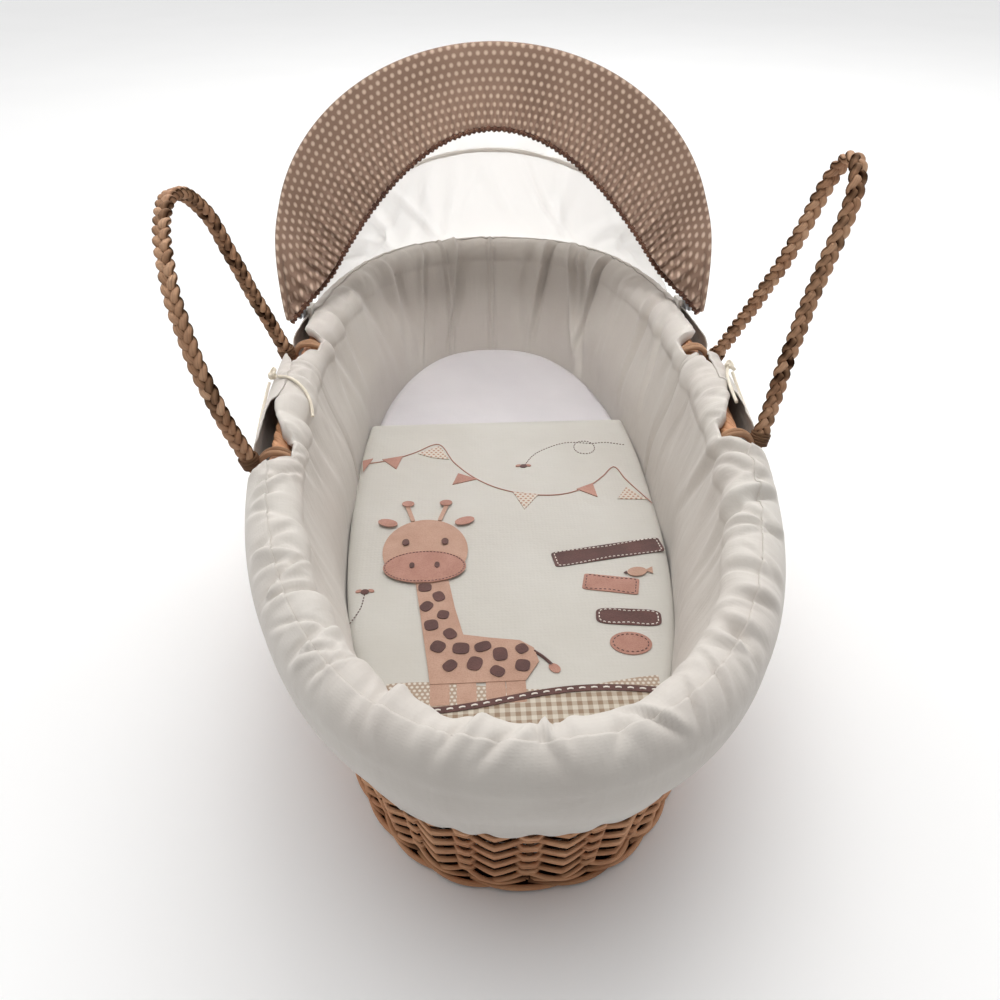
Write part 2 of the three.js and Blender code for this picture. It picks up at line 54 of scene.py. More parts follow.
# ---------------------------------------------------------------- dimensions: the part's, in metres
FOOT_OVAL = (0.3645, 0.1605, 2.48)  # half length, half width, power
RIM_OVAL = (0.414, 0.197, 2.27)
RIM_HEIGHT = 0.204
HEAD_RISE, FOOT_RISE = -0.018, 0.010
BASE_THICKNESS = 0.020
PAD_FACE = -0.0209  # the padded wall's face, from the wall's middle
ROLL_RADIUS = 0.021
SKIRT_RADIUS = 0.022
HEM_HEIGHT = 0.1135
HEM_BAND = {"offset": 0.0066, "above": 0.003}  # the elastic: out from the wall's middle, up from the hem
MATTRESS_TOP = 0.074
QUILT_LOW, QUILT_TOP = 0.0765, 0.090
QUILT_HEAD_EDGE = 0.147
BEDDING_INSET = -0.0225  # the mattress and quilt's side, from the wall's middle
HANDLE_LEAN = math.radians(15)
ROPE_OFFSET = 0.0195
EYE_RING = 0.0148
PIVOT_Y, PIVOT_Z = 0.160, 0.222
FRONT_TILT, REAR_TILT = math.radians(20), math.radians(64)
FRONT_HOOP = (0.226, 0.187, 0.070)  # half width, rise, centre
REAR_HOOP = (0.2063, 0.245, 0.0)
FRONT_EYE_X, REAR_EYE_X = 0.2115, 0.2063
PIN_RADIUS, EYE_PLAY = 0.0026, 0.0003
HOOP_RADIUS = 0.0022
BRIM_TOP, BRIM_HALF = 0.181, 0.197  # the inner arch
TIE_Y = 0.015
SLITS = [(-0.134, -0.002), (0.032, 0.176)]
HANDLES = {
    "left": {
        "side": -1, "hinge": 0.1935, "foot": -0.106, "head": 0.092,
        "rope": [(-106, 0), (-112, 42), (-113, 84), (-104, 124), (-84, 163), (-50, 193), (-14, 205),
                 (26, 196), (54, 169), (64, 126), (72, 82), (84, 36), (92, 0)],
    },
    "right": {
        "side": 1, "hinge": 0.1947, "foot": -0.096, "head": 0.066,
        "rope": [(-96, 0), (-88, 34), (-76, 70), (-66, 112), (-59, 154), (-55, 194), (-42, 223),
                 (-24, 232), (-7, 222), (2, 194), (5, 162), (12, 130), (28, 86), (46, 43), (66, 0)],
    },
}
# Free ribbon ends on the padded roll: y in mm, degrees round the roll, mm from the border's centre.
TIE_TAILS = {
    "tie_tail_left_inner": (-1, [(9, 62, 25.5), (5, 82, 24), (-2, 104, 23.6), (-11, 128, 23.6),
                                 (-22, 150, 23.6), (-35, 168, 23.6)]),
    "tie_tail_left_outer": (-1, [(7, 40, 27), (-4, 26, 25.2), (-17, 14, 24.6), (-31, 5, 24.6),
                                 (-46, -1, 24.6), (-60, -6, 24.6)]),
    "tie_tail_right_upper": (1, [(7, 52, 26), (-4, 58, 24.2), (-17, 64, 23.8), (-31, 68, 23.8),
                                 (-45, 70, 23.8), (-58, 71, 23.8)]),
    "tie_tail_right_lower": (1, [(7, 38, 27), (-5, 24, 25.2), (-19, 14, 24.6), (-34, 8, 24.6),
                                 (-49, 3, 24.6), (-64, 0, 24.6)]),
}


# ---------------------------------------------------------------- ovals and the border
def whole_turn(steps):
    return np.linspace(0, 2 * math.pi, steps, endpoint=False)


def signed_power(value, power):
    return np.sign(value) * np.abs(value) ** power


def smooth(low, high, value):
    share = np.clip((value - low) / (high - low), 0, 1)
    return share * share * (3 - 2 * share)


def oval_point(oval, offset, t):
    a, b, n = oval
    return (b + offset) * signed_power(np.cos(t), 2 / n), (a + offset) * signed_power(np.sin(t), 2 / n)


def wall_oval(z):
    share = z / RIM_HEIGHT
    return [low + (high - low) * share for low, high in zip(FOOT_OVAL, RIM_OVAL)]


def rise(y, z):
    end = np.where(y > 0, HEAD_RISE, FOOT_RISE)
    share = np.clip((z - BASE_THICKNESS) / (RIM_HEIGHT - BASE_THICKNESS), 0, 1)
    return end * np.minimum(1, np.abs(y) / RIM_OVAL[0]) ** 4 * share


def wall_point(t, offset, z, lift=0.0):
    """A point on the leaning wall. z picks the oval, offset goes outwards and lift goes up."""
    x, y = oval_point(wall_oval(z), offset, t)
    return np.stack([x + 0 * z, y + 0 * z, z + rise(y, z) + lift], -1)


def rim_point(t, radius, degrees):
    angle = np.radians(degrees)
    return wall_point(t, radius * np.cos(angle), RIM_HEIGHT + 0 * angle, radius * np.sin(angle))


def rim_point_at(side, y, radius, degrees):
    reach = RIM_OVAL[0] + radius * math.cos(math.radians(degrees))
    p = rim_point(np.arcsin(signed_power(y / reach, RIM_OVAL[2] / 2)), radius, degrees)
    return p * np.array([side, 1, 1])


def even_turns():
    """Matches the share of the way round the border to the angle that gives it."""
    t = np.linspace(0, 2 * math.pi, 20001)
    x, y = oval_point(RIM_OVAL, 0, t)
    way = np.concatenate([[0], np.cumsum(np.hypot(np.diff(x), np.diff(y)))])
    return t, way


TURN, WAY = even_turns()
PERIMETER = WAY[-1]


def angle_at(share):
    return np.interp((share % 1) * PERIMETER, WAY, TURN)


def way_of(side, y):
    """Distance round the border from its right-hand middle to where a side passes y."""
    t = math.asin(signed_power(y / RIM_OVAL[0], RIM_OVAL[2] / 2))
    if side < 0:
        t = math.pi - t
    return np.interp(t % (2 * math.pi), TURN, WAY)


def round_distance(way, place):
    """Signed distance along the border from a place, the short way round."""
    return (way - place + PERIMETER / 2) % PERIMETER - PERIMETER / 2


def curve_through(points, count):
    """A smooth line through points, evenly stepped: centripetal Catmull-Rom, as in the part."""
    p = np.array(points, float)
    ends = [2 * p[0] - p[1], 2 * p[-1] - p[-2]]
    p = np.vstack([ends[0], p, ends[1]])
    line = []
    for i in range(1, len(p) - 2):
        p0, p1, p2, p3 = p[i - 1:i + 3]
        k = [0.0]
        for a, b in ((p0, p1), (p1, p2), (p2, p3)):
            k.append(k[-1] + max(np.linalg.norm(b - a), 1e-9) ** 0.5)
        s = np.linspace(k[1], k[2], 24, endpoint=False)[:, None]
        a1 = (k[1] - s) / (k[1] - k[0]) * p0 + (s - k[0]) / (k[1] - k[0]) * p1
        a2 = (k[2] - s) / (k[2] - k[1]) * p1 + (s - k[1]) / (k[2] - k[1]) * p2
        a3 = (k[3] - s) / (k[3] - k[2]) * p2 + (s - k[2]) / (k[3] - k[2]) * p3
        b1 = (k[2] - s) / (k[2] - k[0]) * a1 + (s - k[0]) / (k[2] - k[0]) * a2
        b2 = (k[3] - s) / (k[3] - k[1]) * a2 + (s - k[1]) / (k[3] - k[1]) * a3
        line.append((k[2] - s) / (k[2] - k[1]) * b1 + (s - k[1]) / (k[2] - k[1]) * b2)
    line = np.vstack(line + [p[-2:-1]])
    return resampled(line, count)


def way_along(line):
    """Distance along a line at each of its points."""
    return np.concatenate([[0], np.cumsum(np.linalg.norm(np.diff(line, axis=0), axis=1))])


def resampled(line, count):
    way = way_along(line)
    even = np.linspace(0, way[-1], count)
    return np.stack([np.interp(even, way, line[:, k]) for k in range(3)], -1)


def length_of(line):
    return float(np.linalg.norm(np.diff(line, axis=0), axis=1).sum())


# ---------------------------------------------------------------- meshes
def unit(v):
    return v / np.maximum(np.linalg.norm(v, axis=-1, keepdims=True), 1e-12)


def linked(name, data):
    """A new object in the scene that holds this data."""
    obj = bpy.data.objects.new(name, data)
    bpy.context.scene.collection.objects.link(obj)
    return obj


def add_object(name, verts, faces, corner_uv=None, body="basket", material=None, tint=None):
    """A smooth mesh of points and faces, with a UV for each face corner and a tint for each point."""
    mesh = bpy.data.meshes.new(name)
    mesh.from_pydata(verts.tolist(), [], faces)
    mesh.polygons.foreach_set("use_smooth", np.ones(len(mesh.polygons), bool))
    if corner_uv is not None:
        mesh.uv_layers.new(name="UVMap").data.foreach_set("uv", np.asarray(corner_uv, float).ravel())
    if tint is not None:
        mesh.attributes.new("tint", "FLOAT", "POINT").data.foreach_set("value", tint)
    mesh.update()
    obj = linked(name, mesh)
    mesh.materials.append(material)
    if body:
        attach(obj, body)
    return obj


def grid_faces(rows, cols, around, across):
    i, j = np.meshgrid(np.arange(rows - (not around)), np.arange(cols - (not across)), indexing="ij")
    corners = [(i, j), (i + 1, j), (i + 1, j + 1), (i, j + 1)]
    faces = np.stack([(a % rows) * cols + b % cols for a, b in corners], -1).reshape(-1, 4)
    return faces, corners


def outward(verts, faces):
    """Whether a closed mesh has its faces pointing out."""
    a, b, c, d = (verts[faces[:, k]] for k in range(4))
    volume = (np.einsum("ij,ij->i", a, np.cross(b, c)) + np.einsum("ij,ij->i", a, np.cross(c, d))).sum()
    return volume >= 0


def corner_uvs(u, v, corners):
    return np.stack([np.stack([u[a, b], v[a, b]], -1) for a, b in corners], -2).reshape(-1, 4, 2)


def end_caps(faces, uv, u, v, shape):
    """Adds the faces that close the two ends of a flattened tube: a grid whose rows go over and back."""
    rows, cols = shape
    j = np.arange(cols // 2 - 1)
    for row, flip in ((0, 1), (rows - 1, -1)):
        first = row * cols
        cap = np.stack([first + j, first + j + 1, first + cols - 2 - j, first + cols - 1 - j], -1)
        faces = np.concatenate([faces, cap[:, ::flip]])
        uv = np.concatenate([uv, np.stack([u[row, j], v[row, j]], -1)[:, None].repeat(4, 1)])
    return faces, uv


def outward_object(name, points, faces, uv, **rest):
    verts = points.reshape(-1, 3)
    if not outward(verts, faces):
        faces, uv = faces[:, ::-1], uv[:, ::-1]
    return add_object(name, verts, faces.tolist(), uv, **rest)


def ring_object(name, points, u, v, **rest):
    """A mesh through a grid that closes on itself both ways. u and v are the cloth's own coordinates, one
    row and one column longer than the grid."""
    faces, corners = grid_faces(*points.shape[:2], True, True)
    return outward_object(name, points, faces, corner_uvs(u, v, corners), **rest)


def grid_normals(points, around):
    if around:
        wide = np.concatenate([points[-1:], points, points[:1]])
        along = (wide[2:] - wide[:-2])
    else:
        along = np.gradient(points, axis=0)
    return unit(np.cross(along, np.gradient(points, axis=1)))


def shell_object(name, points, u, v, thickness, around=False, **rest):
    """Cloth with two faces: the grid itself and a copy set back along its normals."""
    back = points - grid_normals(points, around) * thickness
    return two_faced(name, points, back, u, v, around, **rest)


def two_faced(name, front, back, u, v, around=False, **rest):
    """A closed mesh between two grids of points that share their cloth coordinates."""
    points = np.concatenate([front, back[:, ::-1]], 1)
    shape = points.shape[:2]
    faces, corners = grid_faces(*shape, around, True)
    u, v = (np.concatenate([w, w[:, ::-1], w[:, :1]], 1) for w in (u, v))
    uv = corner_uvs(u, v, corners)
    if not around:
        faces, uv = end_caps(faces, uv, u, v, shape)
    return outward_object(name, points, faces, uv, **rest)


def sweep(path, side, half_width, half_height, sides=8, closed=False, tint=0.5, edge=0.0):
    """A strand along a path. side is roughly the direction of its half width; edge is shade painted on its
    two sides.
    """
    path = np.asarray(path, float)
    if closed:
        along = np.roll(path, -1, 0) - np.roll(path, 1, 0)
    else:
        along = np.gradient(path, axis=0)
    along = unit(along)
    side = np.broadcast_to(np.asarray(side, float), path.shape)
    side = unit(side - np.einsum("ij,ij->i", side, along)[:, None] * along)
    up = np.cross(along, side)
    angle = np.arange(sides) / sides * 2 * math.pi
    wide = np.broadcast_to(half_width, len(path))[:, None, None]
    high = np.broadcast_to(half_height, len(path))[:, None, None]
    ring = (side[:, None] * wide * np.cos(angle)[None, :, None]
            + up[:, None] * high * np.sin(angle)[None, :, None])
    # painted shade: by edge, the tint falls off towards the strand's two sides
    tints = np.broadcast_to(tint, len(path))[:, None] - edge * np.cos(angle)[None, :] ** 8
    return {"grid": path[:, None] + ring, "closed": closed, "tint": np.maximum(tints, 0)}


def strand_ends(rows, sides):
    """The triangles, written as squares with one corner twice, that close a strand at both ends."""
    j = np.arange(sides)
    k = (j + 1) % sides
    tip, last = rows * sides, (rows - 1) * sides
    low = np.stack([j, np.full(sides, tip), np.full(sides, tip), k], -1)
    high = np.stack([last + k, np.full(sides, tip + 1), np.full(sides, tip + 1), last + j], -1)
    return np.concatenate([low, high])


def strand_mesh(strand):
    """A strand's points, faces, UVs and tints, with its length along its U coordinate."""
    grid, closed, tint = strand["grid"], strand["closed"], strand["tint"]
    rows, sides = grid.shape[:2]
    faces, corners = grid_faces(rows, sides, closed, True)
    way = way_along(grid[:, 0])
    way = np.append(way, way[-1] + way[1])
    around = np.arange(sides + 1) / sides
    uv = np.stack([np.stack([way[a], around[b]], -1) for a, b in corners], -2).reshape(-1, 4, 2)
    points, tints = grid.reshape(-1, 3), tint.ravel()
    if not closed:
        points = np.concatenate([points, grid[[0, -1]].mean(1)])
        tints = np.concatenate([tints, tint[[0, -1]].mean(1)])
        faces = np.concatenate([faces, strand_ends(rows, sides)])
        uv = np.concatenate([uv, np.zeros((2 * sides, 4, 2))])
    if not outward(points - points.mean(0), faces):
        faces, uv = faces[:, ::-1], uv[:, ::-1]
    return points, faces, uv, tints


def strands_object(name, strands, material, body="basket"):
    """One mesh of many strands, each with its own tint."""
    meshes = [strand_mesh(strand) for strand in strands]
    points, faces, uvs, tints = zip(*meshes)
    starts = np.cumsum([0] + [len(part) for part in points[:-1]])
    faces = np.concatenate([part + start for part, start in zip(faces, starts)]).tolist()
    clean, corner_uv = [], []
    for face, uv in zip(faces, np.concatenate(uvs)):
        keep = [k for k in range(4) if face[k] not in face[:k]]
        clean.append([face[k] for k in keep])
        corner_uv += [uv[k] for k in keep]
    return add_object(name, np.concatenate(points), clean, corner_uv, body, material, np.concatenate(tints))


# ---------------------------------------------------------------- materials
def colour(red, green, blue):
    """Linear colour from the 0 to 255 values seen on a screen."""
    seen = [c / 255 for c in (red, green, blue)]
    return (*[c / 12.92 if c <= 0.04 else ((c + 0.055) / 1.055) ** 2.4 for c in seen], 1.0)


class Nodes:
    """Short ways to add and join a material's nodes."""

    def __init__(self, name):
        self.material = bpy.data.materials.new(name)
        self.material.use_nodes = True
        self.tree = self.material.node_tree
        self.shader = self.tree.nodes["Principled BSDF"]

    def add(self, kind, **settings):
        node = self.tree.nodes.new(kind)
        for key, value in settings.items():
            if key.startswith("in_"):
                node.inputs[key[3:].replace("_", " ")].default_value = value
            else:
                setattr(node, key, value)
        return node

    def join(self, source, target):
        self.tree.links.new(source, target)

    def feed(self, socket, value):
        """Joins a socket to another one, or sets it to a plain value."""
        if isinstance(value, bpy.types.NodeSocket):
            self.join(value, socket)
        else:
            socket.default_value = value

    def set(self, **values):
        for key, value in values.items():
            self.shader.inputs[key.replace("_", " ")].default_value = value

    def mapped(self, coords, scale, shift):
        mapping = self.add("ShaderNodeMapping")
        mapping.inputs["Scale"].default_value = scale
        mapping.inputs["Location"].default_value = shift
        self.join(coords, mapping.inputs["Vector"])
        return mapping.outputs[0]

    def uv(self, scale=(1, 1, 1), shift=(0, 0, 0)):
        """The cloth's or the rod's own coordinates."""
        return self.mapped(self.add("ShaderNodeUVMap", uv_map="UVMap").outputs[0], scale, shift)

    def place(self, scale=(1, 1, 1)):
        """The point's place in the object."""
        return self.mapped(self.add("ShaderNodeTexCoord").outputs["Object"], scale, (0, 0, 0))

    def noise(self, vector, scale, detail=4.0, roughness=0.55):
        node = self.add("ShaderNodeTexNoise", in_Scale=scale, in_Detail=detail, in_Roughness=roughness)
        self.join(vector, node.inputs["Vector"])
        return node.outputs["Fac"]

    def ramp(self, source, stops):
        node = self.add("ShaderNodeValToRGB")
        ramp = node.color_ramp
        while len(ramp.elements) < len(stops):
            ramp.elements.new(0.5)
        for element, (position, value) in zip(ramp.elements, stops):
            element.position = position
            element.color = value if hasattr(value, "__len__") else (value, value, value, 1)
        self.join(source, node.inputs["Fac"])
        return node.outputs["Color"]

    def mix(self, a, b, factor, blend="MIX"):
        node = self.add("ShaderNodeMix", data_type="RGBA", blend_type=blend)
        for socket, value in ((node.inputs["Factor"], factor), (node.inputs[6], a), (node.inputs[7], b)):
            self.feed(socket, value)
        return node.outputs[2]

    def math(self, operation, a, b=0.0):
        node = self.add("ShaderNodeMath", operation=operation)
        for socket, value in zip(node.inputs, (a, b)):
            self.feed(socket, value)
        return node.outputs[0]

    def vector(self, operation, source, value=None):
        node = self.add("ShaderNodeVectorMath", operation=operation)
        if value:
            node.inputs[1].default_value = value
        self.join(source, node.inputs[0])
        return node.outputs["Value" if operation == "LENGTH" else "Vector"]

    def weave(self, vector, threads):
        """Height of a plain weave: two families of threads at right angles."""
        heights = []
        for axis in ("X", "Y"):
            wave = self.add("ShaderNodeTexWave", bands_direction=axis, in_Scale=threads)
            wave.inputs["Distortion"].default_value = 0.6
            wave.inputs["Detail"].default_value = 1.0
            self.join(vector, wave.inputs["Vector"])
            heights.append(wave.outputs["Fac"])
        return self.math("MULTIPLY", heights[0], heights[1])

    def bump(self, height, strength, distance):
        node = self.add("ShaderNodeBump", in_Strength=strength, in_Distance=distance)
        self.join(height, node.inputs["Height"])
        previous = self.shader.inputs["Normal"]
        if previous.is_linked:
            self.join(previous.links[0].from_socket, node.inputs["Normal"])
        self.join(node.outputs[0], previous)

    def finish(self, base, roughness=None):
        self.join(base, self.shader.inputs["Base Color"])
        if roughness is not None:
            self.join(roughness, self.shader.inputs["Roughness"])
        return self.material


def cotton(name, light, shade, weave=90.0, sheen=0.15, bump=0.25, slub=0.12, crinkle=None):
    """Woven cotton: fine threads, slubs along the weft and slow changes of colour."""
    n = Nodes(name)
    place = n.place()
    patches = n.noise(place, 9.0, 3.0)
    fine = n.noise(n.place((1.0, 1.0, 6.0)), 420.0, 2.0)
    base = n.mix(shade, light, n.ramp(patches, [(0.3, 0.0), (0.7, 1.0)]))
    thread = n.weave(n.uv(), weave)
    slubs = n.noise(n.uv((30, 900, 1)), 1.0, 2.0)
    base = n.mix(base, n.mix(base, shade, 1.0, "MULTIPLY"), n.math("MULTIPLY", slubs, slub))
    n.bump(thread, bump, 0.0002)
    n.bump(fine, 0.25, 0.0003)
    n.bump(n.noise(place, 55.0, 3.0), 0.35, 0.0016)
    if crinkle:
        n.bump(n.noise(n.uv(crinkle), 1.0, 3.0), 0.35, 0.0040)
    n.set(Sheen_Weight=sheen, Sheen_Roughness=0.5)
    return n.finish(base, n.ramp(fine, [(0.3, 0.78), (0.7, 0.95)]))


VOILE_GLOW, VOILE_SHEER = 0.66, 0.20  # shares of light scattered through and let straight through


def voile(name):
    """The part's own plain white material of this name, mixed with layers that let light through."""
    material = bpy.data.materials[name]
    tree = material.node_tree
    surface = tree.nodes["Principled BSDF"].outputs[0]
    for kind, share in (("Translucent", VOILE_GLOW), ("Transparent", VOILE_SHEER)):
        both = tree.nodes.new("ShaderNodeMixShader")
        layer = tree.nodes.new("ShaderNodeBsdf" + kind)
        both.inputs[0].default_value = share
        tree.links.new(surface, both.inputs[1])
        tree.links.new(layer.outputs[0], both.inputs[2])
        surface = both.outputs[0]
    tree.nodes["Translucent BSDF"].inputs["Color"].default_value = colour(252, 251, 250)
    tree.links.new(surface, tree.nodes["Material Output"].inputs["Surface"])
    return material


def printed_dots(name, ground, shade, dot, across, along, radius, softness=0.12):
    """Cotton printed with staggered round dots, across by along metres apart in the cloth's coordinates."""
    n = Nodes(name)
    place = n.place()
    base = n.mix(shade, ground, n.ramp(n.noise(place, 14.0, 4.0), [(0.3, 0.0), (0.7, 1.0)]))
    found = []
    for shift in (0.0, 0.5):
        cell = n.vector("FRACTION", n.uv((1 / across, 1 / (2 * along), 1), (shift, shift, 0)))
        middle = n.vector("SUBTRACT", cell, (0.5, 0.5, 0))
        found.append(n.vector("LENGTH", n.vector("MULTIPLY", middle, (across, 2 * along, 0))))
    nearest = n.math("MULTIPLY", n.math("MINIMUM", found[0], found[1]), 1 / (2 * radius))
    mask = n.ramp(nearest, [(0.5 - softness, 1.0), (0.5 + softness, 0.0)])
    base = n.mix(base, dot, mask)
    thread = n.weave(n.uv(), 110.0)
    n.bump(thread, 0.3, 0.0002)
    n.bump(mask, 0.15, 0.0002)
    n.set(Sheen_Weight=0.1)
    return n.finish(base, n.ramp(n.noise(place, 300.0, 2.0), [(0.3, 0.75), (0.7, 0.92)]))


def gingham(name, ground, stripe, pitch):
    """Woven checks: half stripes where one colour runs, full where two cross."""
    n = Nodes(name)
    bands = []
    for axis in (0, 1):
        split = n.add("ShaderNodeSeparateXYZ")
        n.join(n.uv((1 / pitch, 1 / pitch, 1)), split.inputs[0])
        bands.append(n.math("GREATER_THAN", n.math("FRACT", split.outputs[axis]), 0.5))
    share = n.math("MULTIPLY", n.math("ADD", bands[0], bands[1]), 0.5)
    base = n.mix(ground, stripe, share)
    patches = n.noise(n.place(), 30.0, 3.0)
    base = n.mix(base, n.mix(base, colour(205, 195, 180), 1.0, "MULTIPLY"), n.math("MULTIPLY", patches, 0.3))
    n.bump(n.weave(n.uv(), 100.0), 0.3, 0.0002)
    return n.finish(base, n.ramp(patches, [(0.3, 0.8), (0.7, 0.92)]))


def willow(name, light, mid, dark, stain=0.55, gloss=0.5, grain=420.0):
    """Peeled rods: each has its own tint, which also carries shade painted on the rods, with grain along it,
    darker stains and small scars.
    """
    n = Nodes(name)
    tint = n.add("ShaderNodeAttribute", attribute_name="tint").outputs["Fac"]
    place = n.place()
    # the tint runs from dark to light; low tints are painted shade where rods sit back or meet
    base = n.ramp(tint, [(0.0, dark), (0.45, mid), (1.0, light)])
    streaks = n.noise(n.uv((14, 9, 1)), 2.2, 5.0, 0.65)
    base = n.mix(base, n.mix(base, dark, 1.0, "MULTIPLY"), n.ramp(streaks, [(0.48, 0.0), (0.78, stain)]))
    patches = n.noise(place, 26.0, 5.0, 0.6)
    base = n.mix(base, n.mix(base, mid, 0.8, "MULTIPLY"), n.ramp(patches, [(0.42, 0.0), (0.72, 0.6)]))
    fibres = n.noise(n.uv((40, grain / 10, 1)), 3.0, 3.0)
    n.bump(fibres, 0.4, 0.0004)
    n.bump(patches, 0.3, 0.0008)
    # the painted shade also takes the shine away where the tint is low
    n.join(n.ramp(tint, [(0.05, 0.0), (0.5, 0.4)]), n.shader.inputs["Specular IOR Level"])
    return n.finish(base, n.ramp(streaks, [(0.3, gloss), (0.75, gloss + 0.25)]))


def felt(name, light, shade):
    n = Nodes(name)
    place = n.place()
    nap = n.noise(place, 900.0, 3.0)
    base = n.mix(shade, light, n.ramp(n.noise(place, 60.0, 5.0), [(0.3, 0.0), (0.7, 1.0)]))
    base = n.mix(base, n.mix(base, shade, 0.7, "MULTIPLY"), n.ramp(nap, [(0.45, 0.0), (0.7, 0.35)]))
    n.bump(nap, 0.5, 0.0003)
    n.set(Sheen_Weight=0.3, Sheen_Roughness=0.6)
    return n.finish(base, n.ramp(nap, [(0.3, 0.85), (0.7, 0.98)]))


def metal(name):
    n = Nodes(name)
    place = n.place()
    wear = n.noise(place, 220.0, 4.0)
    base = n.mix(colour(176, 178, 182), colour(120, 118, 116), n.ramp(wear, [(0.5, 0.0), (0.8, 0.7)]))
    n.bump(wear, 0.15, 0.0002)
    n.set(Metallic=1.0)
    return n.finish(base, n.ramp(wear, [(0.3, 0.28), (0.7, 0.5)]))


def moulded(name):
    n = Nodes(name)
    place = n.place()
    fine = n.noise(place, 700.0, 3.0)
    slow = n.ramp(n.noise(place, 70.0), [(0.4, 0.0), (0.8, 0.8)])
    base = n.mix(colour(236, 233, 226), colour(214, 209, 199), slow)
    n.bump(fine, 0.2, 0.0001)
    return n.finish(base, n.ramp(fine, [(0.3, 0.35), (0.7, 0.5)]))


IVORY = cotton("liner_cotton", colour(208, 203, 196), colour(199, 192, 185), crinkle=(70, 16, 1))
SHEETING = cotton("sheet_cotton", colour(208, 204, 206), colour(199, 195, 198), weave=120.0, slub=0.06)
TICKING = cotton("mattress_cover", colour(236, 234, 230), colour(224, 221, 215))
QUILTING = cotton("quilt_cotton", colour(200, 197, 190), colour(193, 189, 181), slub=0.08)
VOILE = voile("hood_voile")
CASING = cotton("hood_casing", colour(240, 236, 230), colour(232, 227, 220), weave=120.0)
DOTTED = printed_dots("hood_dotted", colour(142, 115, 98), colour(124, 98, 82), colour(196, 172, 152),
                      0.0082, 0.0078, 0.0020, 0.22)
EDGING = printed_dots("brim_edging", colour(92, 56, 40), colour(62, 34, 24), colour(176, 132, 104),
                      0.0070, 0.0040, 0.0009)
RIBBON = cotton("ribbon", colour(236, 228, 212), colour(222, 212, 194), weave=220.0)
ELASTIC = cotton("elastic", colour(232, 228, 220), colour(214, 209, 199), weave=300.0)
WICKER = willow("wicker", colour(232, 180, 140), colour(198, 144, 104), colour(30, 15, 10), stain=0.4)
PLAIT = willow("plait", colour(214, 176, 144), colour(178, 138, 106), colour(34, 18, 10), stain=0.5,
               gloss=0.6)
WIRE = metal("hoop_wire")
PLASTIC = moulded("clip_plastic")
FELT_TAN = felt("felt_tan", colour(186, 150, 130), colour(174, 136, 116))
FELT_PINK = felt("felt_pink", colour(178, 132, 116), colour(164, 116, 100))
FELT_BROWN = felt("felt_brown", colour(96, 58, 52), colour(74, 42, 38))
FELT_WHITE = felt("felt_white", colour(238, 232, 224), colour(222, 214, 204))
PRINT = printed_dots("print_dotted", colour(206, 198, 186), colour(198, 188, 174), colour(168, 128, 108),
                     0.0050, 0.0036, 0.0013)
HILL_PRINT = printed_dots("hill_dotted", colour(172, 152, 134), colour(162, 141, 123), colour(208, 200, 188),
                          0.0042, 0.0036, 0.0012)
CHECK = gingham("gingham", colour(206, 198, 184), colour(150, 128, 108), 0.0080)


# ---------------------------------------------------------------- camera
CAMERA_PLACE, CAMERA_LENS = (-0.0335, -0.7002, 0.6079), 30.56
CAMERA_PITCH, CAMERA_YAW, CAMERA_ROLL = 36.88, 2.47, -0.17  # degrees


def camera():
    """The photo's camera, fitted together with the part's dimensions."""
    data = bpy.data.cameras.new("camera")
    data.lens, data.sensor_width = CAMERA_LENS, 36.0
    data.clip_start, data.clip_end = 0.02, 60.0
    obj = linked("camera", data)
    pitch, yaw, roll = (math.radians(turn) for turn in (CAMERA_PITCH, CAMERA_YAW, CAMERA_ROLL))
    obj.matrix_world = (Matrix.Translation(CAMERA_PLACE) @ Matrix.Rotation(-yaw, 4, "Z")
                        @ Matrix.Rotation(math.pi / 2 - pitch, 4, "X") @ Matrix.Rotation(roll, 4, "Z"))
    bpy.context.scene.camera = obj


# ---------------------------------------------------------------- ribbon ties, the free cords
TIE_DIAMETER = 0.003
KNOT_DEGREES, KNOT_LIFT = 46, 0.0052  # up from the roll's outer side, and out from the skirt


def tie_tail(name, side, route):
    points = [rim_point_at(side, y * MM, radius * MM, degrees) for y, degrees, radius in route]
    line = curve_through(points, 22)
    curve = bpy.data.curves.new(name, "CURVE")
    curve.dimensions = "3D"
    curve.bevel_depth = TIE_DIAMETER / 2
    curve.bevel_resolution = 3
    curve.use_fill_caps = True
    spline = curve.splines.new("POLY")
    spline.points.add(len(line) - 1)
    spline.points.foreach_set("co", np.column_stack([line, np.ones(len(line))]).ravel())
    spline.use_smooth = True
    obj = linked(name + "_ribbon", curve)
    curve.materials.append(RIBBON)
    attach(obj, "basket")
    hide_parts(name)


def tie_knot(name, side):
    """The wrapped knot where a pair of tapes ties the slit closed, with two small loops."""
    centre = rim_point_at(side, TIE_Y, SKIRT_RADIUS + KNOT_LIFT, KNOT_DEGREES)
    lean = math.radians(KNOT_DEGREES)
    outer = np.array([side * math.cos(lean), 0, math.sin(lean)])
    along = np.array([0.0, 1.0, 0.0])
    across = np.cross(outer, along)
    strands = []
    for k, (turn, lift) in enumerate(((0.25, 0.0), (-0.35, 0.0012), (0.9, 0.0004))):
        axis = unit(across * math.cos(turn) + along * math.sin(turn))
        other = np.cross(axis, outer)
        angle = whole_turn(28)[:, None]
        ring = centre + outer * lift + other * 0.0030 * np.cos(angle) + outer * 0.0026 * np.sin(angle)
        strands.append(sweep(ring + axis * 0.0009 * (k - 1), axis, 0.0019, 0.0009, 8, True))
    for turn, size in ((0.5, 0.0085), (2.5, 0.0075)):
        axis = along * math.cos(turn) - across * math.sin(turn)
        angle = whole_turn(36)[:, None]
        swell = np.sin(angle / 2) ** 2
        loop = (centre + axis * size * swell + np.cross(outer, axis) * size * 0.42 * np.sin(angle)
                + outer * (0.0012 + 0.0012 * swell))
        strands.append(sweep(loop, outer, 0.0017, 0.0007, 8, True))
    obj = strands_object(name + "_wrap", strands, material=RIBBON)
    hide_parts(name)


